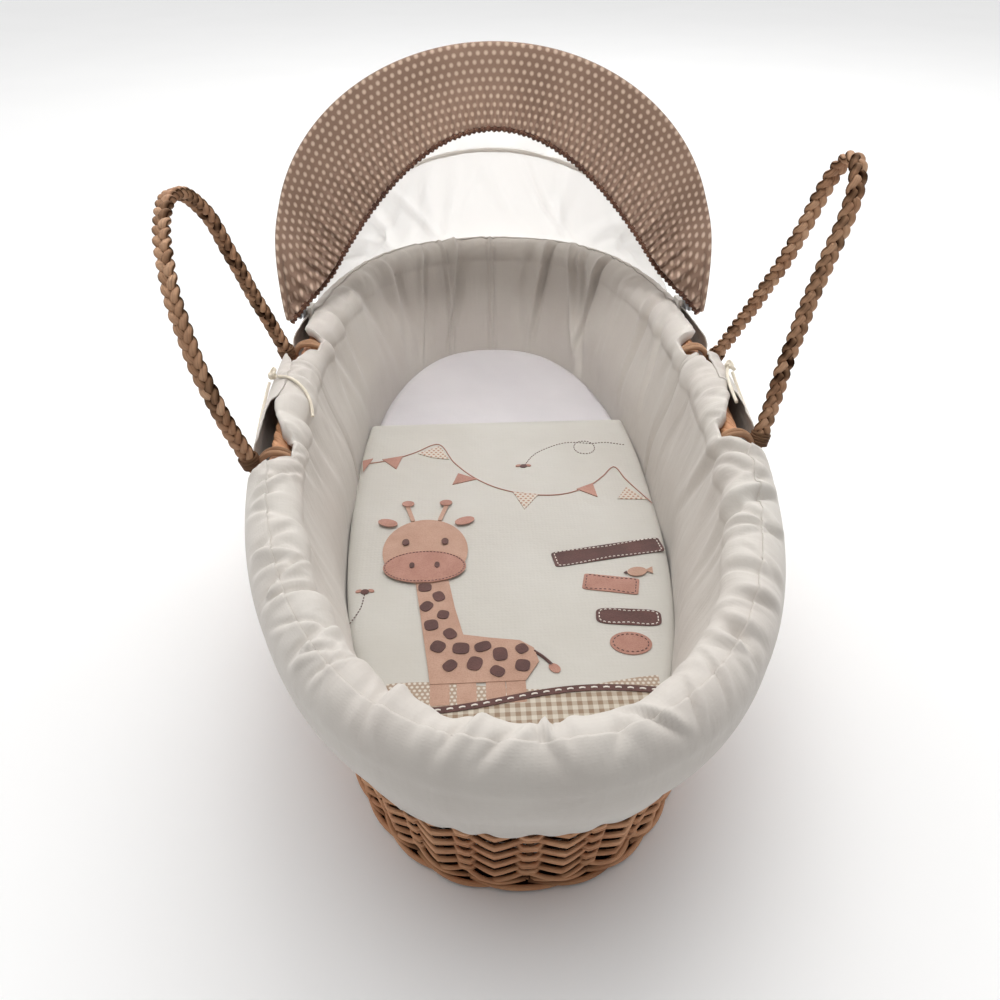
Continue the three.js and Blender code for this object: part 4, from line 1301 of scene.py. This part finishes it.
def signs():
    """Four blank name patches and a small bird, with a running stitch inside each edge."""
    dark = [strip(0.094, -0.096, 0.106, 0.021, 9), strip(0.099, -0.183, 0.056, 0.019, -6, 0.45)]
    light = [strip(0.090, -0.141, 0.050, 0.021, -13), ellipse(0.096, -0.213, 0.0175, 0.0125, -4)]
    patches("signs_dark", dark, FELT_BROWN)
    patches("signs_light", light, FELT_PINK)
    light_lines = [closed(inset_outline(outline, 0.0028)) for outline in dark]
    dark_lines = [closed(inset_outline(outline, 0.0028)) for outline in light]
    threads("sign_stitching_light", stitches(light_lines, 0.0014, 0.0040, 0.0005), FELT_WHITE)
    threads("sign_stitching_dark", stitches(dark_lines, 0.0014, 0.0040, 0.0005), FELT_BROWN)
    tail = polygon((0.123, -0.126), (0.131, -0.121), (0.130, -0.130))
    beak = polygon((0.1065, -0.1255), (0.1035, -0.1280), (0.1075, -0.1290))
    patches("small_bird", [ellipse(0.116, -0.127, 0.0090, 0.0060, 8), tail], FELT_TAN, 0.0012)
    patches("bird_beak", [beak], FELT_BROWN, 0.0012)


def ground_line(x):
    return -0.268 + 0.0085 * math.sin((x + 0.010) * 22)


def ground():
    """The dotted hill, the dark ribbon with its light dashes, and the checked strip below it."""
    xs = np.linspace(-0.104, 0.112, 40)
    hill_top = [(x, -0.253 - 0.006 * math.sin((x + 0.03) * 30)) for x in xs]
    hill = hill_top + [(x, ground_line(x) + 0.001) for x in xs[::-1]]
    patches("hill", [polygon(*hill)], HILL_PRINT, 0.0002, 0.0006)
    low = [(x, -0.312) for x in np.linspace(0.074, -0.074, 20)]
    check = [(x, ground_line(x)) for x in np.linspace(-0.100, 0.104, 40)] + low
    patches("checked_strip", [polygon(*check)], CHECK, 0.0002, 0.0006)
    line = [(x, ground_line(x)) for x in np.linspace(-0.104, 0.112, 60)]
    upper = [(x, y + 0.0030) for x, y in line]
    lower = [(x, y - 0.0030) for x, y in line[::-1]]
    patches("ground_ribbon", [polygon(*(upper + lower))], FELT_BROWN, 0.0010, 0.0008)
    threads("ribbon_dashes", stitches([np.array(line)], 0.0022, 0.0092, 0.0008), FELT_WHITE)


def quilt_pictures():
    ground()
    giraffe()
    bunting()
    signs()


# ---------------------------------------------------------------- handles
PLAIT_WIDTH, PLAIT_DEPTH, PLAIT_PITCH = 0.0037, 0.0022, 0.030  # how far the strands swing, and how often
STRAND_HALF_WIDTH, STRAND_HALF_HEIGHT = 0.0036, 0.0030


def braid(line, across, random):
    """Three strands plaited along a line. across is the plait's flat direction."""
    way = way_along(line)
    along = unit(np.gradient(line, axis=0))
    across = unit(np.broadcast_to(across, line.shape) - np.einsum(
        "ij,ij->i", np.broadcast_to(across, line.shape), along)[:, None] * along)
    normal = np.cross(along, across)
    strands = []
    for k in range(3):
        phase = 2 * math.pi * (way / PLAIT_PITCH + k / 3)
        wobble = 1 + 0.06 * np.sin(way * 90 + k * 2.1)
        taper = smooth(0, 0.012, way) * smooth(0, 0.012, way[-1] - way) * 0.35 + 0.65
        path = (line + across * (PLAIT_WIDTH * np.sin(phase) * wobble * taper)[:, None]
                + normal * (PLAIT_DEPTH * np.sin(2 * phase) * taper)[:, None])
        tone = np.clip(random.uniform(0.45, 0.7) + 0.25 * np.sin(way * 61 + 3 * k) * np.sin(way * 23), 0, 1)
        # painted shade: each strand darkens where it dips under the others
        tone = np.clip(tone - 0.25 * smooth(-0.3, -1.0, np.sin(2 * phase)), 0, 1)
        # painted shade: edge 0.9 darkens each strand's sides where the strands meet
        strands.append(sweep(path, across, STRAND_HALF_WIDTH * taper, STRAND_HALF_HEIGHT * wobble, 10, False,
                             tone, 0.9))
    return strands


def handle(name, spec, seed):
    """A plaited loop with a twisted ring round the border at each foot, and a wrapping above the ring."""
    random = np.random.default_rng(seed)
    side, hinge = spec["side"], spec["hinge"]
    up = np.array([side * math.sin(HANDLE_LEAN), 0, math.cos(HANDLE_LEAN)])
    outer = np.array([side * math.cos(HANDLE_LEAN), 0, -math.sin(HANDLE_LEAN)])
    start = np.array([side * hinge, 0, RIM_HEIGHT]) + outer * ROPE_OFFSET
    points = [start + up * height * MM + np.array([0, y * MM, 0]) for y, height in spec["rope"]]
    line = curve_through(points, 520)
    strands = braid(line, outer, random)
    for y, ahead in ((spec["foot"], 1), (spec["head"], -1)):
        centre = np.array([side * hinge, y, RIM_HEIGHT])
        angle = whole_turn(72)
        for k, shift in enumerate((-0.0022, 0.0022)):
            twist = shift * np.cos(3 * angle + k)
            ring = (centre + outer * (EYE_RING * np.cos(angle))[:, None]
                    + up * (EYE_RING * np.sin(angle))[:, None]
                    + np.array([0, 1, 0]) * (shift + 0.3 * twist)[:, None])
            strands.append(sweep(ring, (0, 1, 0), 0.0024, 0.0028, 8, True, float(random.uniform(0.3, 0.6))))
        end = line[0] if ahead > 0 else line[-1]
        way = unit(line[8] - line[0]) if ahead > 0 else unit(line[-9] - line[-1])
        for k in range(5):
            middle = end + way * (0.008 + 0.0022 * k)
            ring = (middle + outer * (0.0078 * np.cos(angle))[:, None]
                    + np.cross(way, outer) * (0.0062 * np.sin(angle))[:, None])
            strands.append(sweep(ring, way, 0.0012, 0.0011, 6, True, 0.15 + 0.05 * (k % 2)))
    obj = strands_object(f"handle_{name}_plait", strands, material=PLAIT, body=f"{name}_handle")
    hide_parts(f"handle_{name}")


# ---------------------------------------------------------------- hood
VOILE_THICK = 0.0004
BRIM_ENDS = 0.006  # where the inner arch is cut, up from the pivots
BRIM_FEET = {"inner": (0.2165, -0.0075), "outer": (0.2200, -0.0070)}  # across and up, in the hoop's plane
# The casing's section round the front hoop: in from the hoop towards the arch, and out of its plane.
BRIM_CASING = [(0.0110, 0.0012), (0.0070, 0.0018), (0.0030, 0.0027), (-0.0006, 0.0030), (-0.0022, 0.0021),
               (-0.0030, 0.0), (-0.0022, -0.0021), (-0.0006, -0.0030), (0.0030, -0.0029), (0.0070, -0.0026)]


def tilted(tilt, x, h, out=0.0):
    """Points in a hoop's plane: x across, h up it from the pivots, out away from the foot end."""
    return np.stack([x + 0 * h, PIVOT_Y + h * np.sin(tilt) + out * np.cos(tilt),
                     PIVOT_Z + h * np.cos(tilt) - out * np.sin(tilt)], -1)


def hoop_point(hoop, u):
    half_width, height, centre = hoop
    dip = math.asin(centre / height)
    angle = -dip + u * (math.pi + 2 * dip)
    return half_width * np.cos(angle), centre + height * np.sin(angle)


def hoop_wire(name, node, hoop, tilt, eye_x, body):
    u = np.arange(25) / 24
    x, h = hoop_point(hoop, u)
    h = np.maximum(h, 0.008)
    x[[0, -1]], h[[0, -1]] = np.array([eye_x, -eye_x]), 0.0055
    line = curve_through(tilted(tilt, x, h), 240)
    strands = [sweep(line, (0, 1, 0), HOOP_RADIUS, HOOP_RADIUS, 10, False)]
    angle = whole_turn(32)[:, None]
    ring_radius = PIN_RADIUS + HOOP_RADIUS + 2 * EYE_PLAY
    for side in (-1, 1):
        ring = (np.array([side * eye_x, PIVOT_Y, PIVOT_Z]) + np.array([0, ring_radius, 0]) * np.cos(angle)
                + np.array([0, 0, ring_radius]) * np.sin(angle))
        strands.append(sweep(ring, (1, 0, 0), HOOP_RADIUS, HOOP_RADIUS, 10, True))
    obj = strands_object(name, strands, material=WIRE, body=body)
    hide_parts(node)


def drawn_in(count, first, foot):
    """The pull on a line's two ends, from where they would be to the brim's gathered feet."""
    side = np.linspace(1, -1, count)
    pull = smooth(0.80, 1.0, np.abs(side)) ** 2
    shift = np.array(foot) - np.array(first)
    return np.stack([np.sign(side) * pull * shift[0], pull * shift[1]], -1)


def brim_line(count, x, h, foot):
    """One edge of the brim, evenly stepped from right to left, in its hoop's plane."""
    line = np.stack([x, h, 0 * x], -1)
    return resampled(line, count)[:, :2] + drawn_in(count, line[0, :2], foot)


def inner_line(count):
    half = BRIM_HALF * math.sqrt(1 - BRIM_ENDS / BRIM_TOP)
    x = np.linspace(half, -half, 400)
    return brim_line(count, x, BRIM_TOP * (1 - (x / BRIM_HALF) ** 2), BRIM_FEET["inner"])


def outer_line(count):
    return brim_line(count, *hoop_point(FRONT_HOOP, np.linspace(0.035, 0.965, 400)), BRIM_FEET["outer"])


def feet_forward(count):
    """The brim's two feet pass in front of the basket's caps."""
    return -0.0160 * smooth(0.76, 0.92, np.abs(np.linspace(-1, 1, count)))


def hood_brim():
    """The dotted brim: a casing rolled round the front hoop, and a band gathered on to the inner arch."""
    random = np.random.default_rng(31)
    count, band = 520, 40
    outer, inner = outer_line(count), inner_line(count)
    towards = unit(inner - outer)
    width = np.linalg.norm(inner - outer, axis=1)
    narrow = np.minimum(1, width / 0.024)
    w = np.linspace(0.13, 1, band)
    phase = np.cumsum(random.uniform(0.7, 1.3, count)) / count
    phase = phase / phase[-1]
    gather = np.sin(2 * math.pi * 74 * phase) + 0.5 * np.sin(2 * math.pi * 31 * phase + 1)
    near_foot = smooth(0.62, 1.0, np.abs(np.linspace(-1, 1, count)))
    forward = feet_forward(count)

    def row(depth, out):
        p = outer + towards * depth[:, None]
        return tilted(FRONT_TILT, p[:, 0], p[:, 1], out + forward)

    rows = [row(depth * np.where(depth > 0, narrow, 1), out) for depth, out in BRIM_CASING]
    for share in w:
        amount = 0.0017 * smooth(0.15, 0.95, share) + 0.0020 * near_foot * smooth(0.1, 0.7, share)
        hollow = -0.0040 * math.sin(math.pi * (share - w[0]) / (1 - w[0]))
        rows.append(row(share * width, -0.0024 - hollow * narrow + amount * gather))
    points = np.stack(rows, 1)
    u = np.linspace(0, 0.735, count)[:, None] + np.zeros((1, points.shape[1]))
    steps = np.linalg.norm(np.diff(BRIM_CASING, axis=0), axis=1)
    wrapped = BRIM_CASING[-1][0] - np.append(np.cumsum(steps[::-1])[::-1], 0)
    v = np.concatenate([wrapped[None, :] + 0 * width[:, None], width[:, None] * w[None, :]], 1)
    obj = shell_object("hood_brim_cloth", points, u, v, 0.0008, body="hood_front", material=DOTTED)
    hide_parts("hood_brim")
    brim_edging(inner)


def brim_edging(inner):
    """The gathered casing over the elastic along the brim's inner arch."""
    count = 900
    fine = resampled(np.column_stack([inner, np.zeros(len(inner))]), count)[:, :2]
    way = np.linspace(0, 0.52, count)
    puff = np.sin(2 * math.pi * way / 0.0046) + 0.4 * np.sin(2 * math.pi * way / 0.0121)
    out = 0.0004 * puff - 0.0006 + feet_forward(count)
    centre = tilted(FRONT_TILT, fine[:, 0], fine[:, 1] - 0.0014, out)
    strand = sweep(centre, (0, math.cos(FRONT_TILT), -math.sin(FRONT_TILT)), 0.0024 + 0.0005 * puff,
                   0.0028 + 0.0007 * puff, 10, False)
    obj = strands_object("hood_brim_edging", [strand], material=EDGING, body="hood_front")
    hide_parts("hood_brim_elastic")


def blend_by_share(obj):
    """Bakes the cloth's placement into its points."""
    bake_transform(obj)


def panel_folds(u, w, seed, amount, slant):
    """Soft folds that run from hoop to hoop, deeper towards both sides."""
    random = np.random.default_rng(seed)
    height = np.zeros_like(u)
    for _ in range(34):
        place = random.uniform(0.08, 0.92)
        size = random.uniform(0.008, 0.022)
        aside = abs(place - 0.5) * 2
        drift = random.uniform(-slant, slant) + 0.16 * (0.5 - place)
        strength = random.uniform(-1, 1) * (0.25 + 0.75 * aside)
        x = (u - place - drift * (w - 0.5)) / size
        height += strength * (np.exp(-x ** 2) - 0.5 * np.exp(-((x - 1.8) / 1.2) ** 2))
    return amount * height


def rear_casing():
    """The channel of thin cotton that the rear hoop runs in."""
    u = np.linspace(0.085, 0.915, 160)
    x, h = hoop_point(REAR_HOOP, u)
    way = np.linspace(0, 1, 160)
    swell = 0.0002 * np.sin(way * 190) + 0.0002 * np.sin(way * 67)
    line = tilted(REAR_TILT, x, h)
    strand = sweep(line, (0, 1, 0), 0.0028 + swell, 0.0026 + swell, 10, False)
    obj = strands_object("hood_rear_casing", [strand], material=CASING, body="hood_rear")


def hood_top_panel():
    columns, rows = 240, 44
    u = np.linspace(0.10, 0.90, columns)[:, None] + np.zeros((1, rows))
    w = np.linspace(0.0, 1.0, rows)[None, :] + np.zeros((columns, 1))
    fx, fh = hoop_point((FRONT_HOOP[0] - 0.002, FRONT_HOOP[1] - 0.002, FRONT_HOOP[2]), u)
    rx, rh = hoop_point(REAR_HOOP, u)
    tilt = FRONT_TILT + 0.03 + (REAR_TILT - FRONT_TILT - 0.04) * w
    sag = 1 - 0.05 * np.sin(math.pi * w)
    fold = panel_folds(u, w, 41, 0.0060, 0.16) * np.sin(math.pi * (0.1 + 0.8 * w))
    x = (fx + (rx - fx) * w) * sag
    h = (fh + (rh - fh) * w) * sag - fold
    points = tilted(tilt, x, h)
    obj = shell_object("hood_top_cloth", points, u * 0.70, w * 0.17, VOILE_THICK, body=None, material=VOILE)
    blend_by_share(obj)
    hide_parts("hood_top_panel")


# The back panel's last rows, over the roll and down to its hem: degrees round the border, radius.
BACK_HEM = [(30, 0.0284), (16, 0.0288), (2, 0.0292), (-12, 0.0305), (-26, 0.0325), (-38, 0.0345),
            (-48, 0.0362)]


def hood_back_panel():
    """The rear panel: from the rear hoop over the head of the basket, to a gathered hem outside it."""
    columns = 300
    u = np.linspace(0.10, 0.90, columns)
    hem = np.radians(np.linspace(28, 152, columns))
    rx, rh = hoop_point(REAR_HOOP, u)
    rear = tilted(REAR_TILT, rx, rh)
    outside = SKIRT_RADIUS + 0.006
    over = rim_point(hem, outside, 42.0)
    steps = 30
    rows, weights = [], []
    for k in range(steps):
        share = k / (steps - 1)
        tighten = 1 - 0.055 * math.sin(math.pi * share)
        middle = np.array([0.0, 0.20, 0.22])
        point = rear + (over - rear) * share
        deep = math.sin(math.pi * (0.05 + 0.85 * share))
        fold = panel_folds(u, np.full(columns, share), 42, 0.0105, 0.16) * deep
        point = middle + (point - middle) * (tighten - fold[:, None] / 0.2)
        rows.append(point)
        weights.append(np.full(columns, 1 - share))
    for degrees, radius in BACK_HEM:
        gather = 0.0014 * np.sin(hem * 52 + 2 * np.sin(hem * 9)) * smooth(20, -30, np.array(float(degrees)))
        rows.append(rim_point(hem, radius + gather, float(degrees)))
        weights.append(np.zeros(columns))
    points = np.stack(rows, 1)
    shares = np.stack(weights, 1)
    v = np.broadcast_to(np.linspace(0, 0.30, points.shape[1]), shares.shape)
    uu = u[:, None] * 0.75 + 0 * shares
    obj = shell_object("hood_back_cloth", points, uu, v, VOILE_THICK, body=None, material=VOILE)
    blend_by_share(obj)
    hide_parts("hood_back_panel")


def hood():
    hoop_wire("hood_front_hoop_wire", "hood_front_hoop", FRONT_HOOP, FRONT_TILT, FRONT_EYE_X, "hood_front")
    hoop_wire("hood_rear_hoop_wire", "hood_rear_hoop", REAR_HOOP, REAR_TILT, REAR_EYE_X, "hood_rear")
    hood_brim()
    rear_casing()
    hood_top_panel()
    hood_back_panel()
    for side in ("left", "right"):
        for node in (f"hood_bracket_{side}", f"hood_cap_{side}"):
            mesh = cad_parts[node].data
            mesh.materials.clear()
            mesh.materials.append(PLASTIC)


# ---------------------------------------------------------------- floor and light
WORLD_FRONT, WORLD_BACK = 0.20, 1.35  # strength at the viewer's side and behind the head end
WINDOW_POWER, CEILING_POWER, HEAD_POWER = 30.0, 16.0, 0.7
HEAD_SPREAD = 26  # degrees
FLOOR_SIZE = 14.0


def floor():
    size = FLOOR_SIZE
    verts = [(-size, -size, 0), (size, -size, 0), (size, size, 0), (-size, size, 0)]
    n = Nodes("floor")
    grain = n.noise(n.place(), 3.0, 3.0)
    base = n.mix(colour(246, 246, 246), colour(250, 250, 250), grain)
    n.finish(base)
    n.set(Roughness=0.9)
    obj = add_object("floor", np.array(verts), [[0, 1, 2, 3]], body=None, material=n.material)


def area_light(name, place, aim, size, power, tone, spread=180):
    data = bpy.data.lights.new(name, "AREA")
    data.shape, data.size, data.energy, data.color = "DISK", size, power, tone
    data.spread = math.radians(spread)
    obj = linked(name, data)
    away = np.array(place, float) - np.array(aim, float)
    turn = Matrix.Translation(place)
    look = Vector(away).to_track_quat("Z", "Y").to_matrix().to_4x4()
    obj.matrix_world = turn @ look


def room_light():
    """A bright room behind the head end that falls off towards the viewer."""
    world = bpy.data.worlds.new("room")
    world.use_nodes = True
    tree = world.node_tree
    shade = tree.nodes["Background"]
    shade.inputs["Color"].default_value = (1.0, 1.0, 1.0, 1.0)
    coords = tree.nodes.new("ShaderNodeTexCoord")
    split = tree.nodes.new("ShaderNodeSeparateXYZ")
    fall = tree.nodes.new("ShaderNodeMapRange")
    fall.inputs["From Min"].default_value, fall.inputs["From Max"].default_value = -0.6, 0.5
    fall.inputs["To Min"].default_value, fall.inputs["To Max"].default_value = WORLD_FRONT, WORLD_BACK
    tree.links.new(coords.outputs["Generated"], split.inputs[0])
    tree.links.new(split.outputs["Y"], fall.inputs["Value"])
    tree.links.new(fall.outputs[0], shade.inputs["Strength"])
    bpy.context.scene.world = world


def lights():
    room_light()
    area_light("window", (0.5, 1.9, 2.6), (0, 0.0, 0.2), 2.4, WINDOW_POWER, (1.0, 0.99, 0.97))
    head_end = (0, 0.30, 0.20)
    area_light("head_fill", (0.0, -0.75, 2.1), head_end, 0.5, HEAD_POWER, (1.0, 0.99, 0.98), HEAD_SPREAD)
    area_light("ceiling", (-0.3, -0.3, 2.8), (0, 0, 0.1), 2.2, CEILING_POWER, (1.0, 0.99, 0.98))
    bpy.context.scene.view_settings.view_transform = "Standard"


camera()
for tail, (tail_side, tail_route) in TIE_TAILS.items():
    tie_tail(tail, tail_side, tail_route)
for knot_name, knot_side in (("tie_knot_left", -1), ("tie_knot_right", 1)):
    tie_knot(knot_name, knot_side)
foot_border()
side_weaving()
top_border()
base_weaving()
liner_pad()
liner_skirt()
hem_elastic()
bedding()
for handle_name, handle_spec in HANDLES.items():
    handle(handle_name, handle_spec, 50 + len(handle_name))
hood()
floor()
lights()
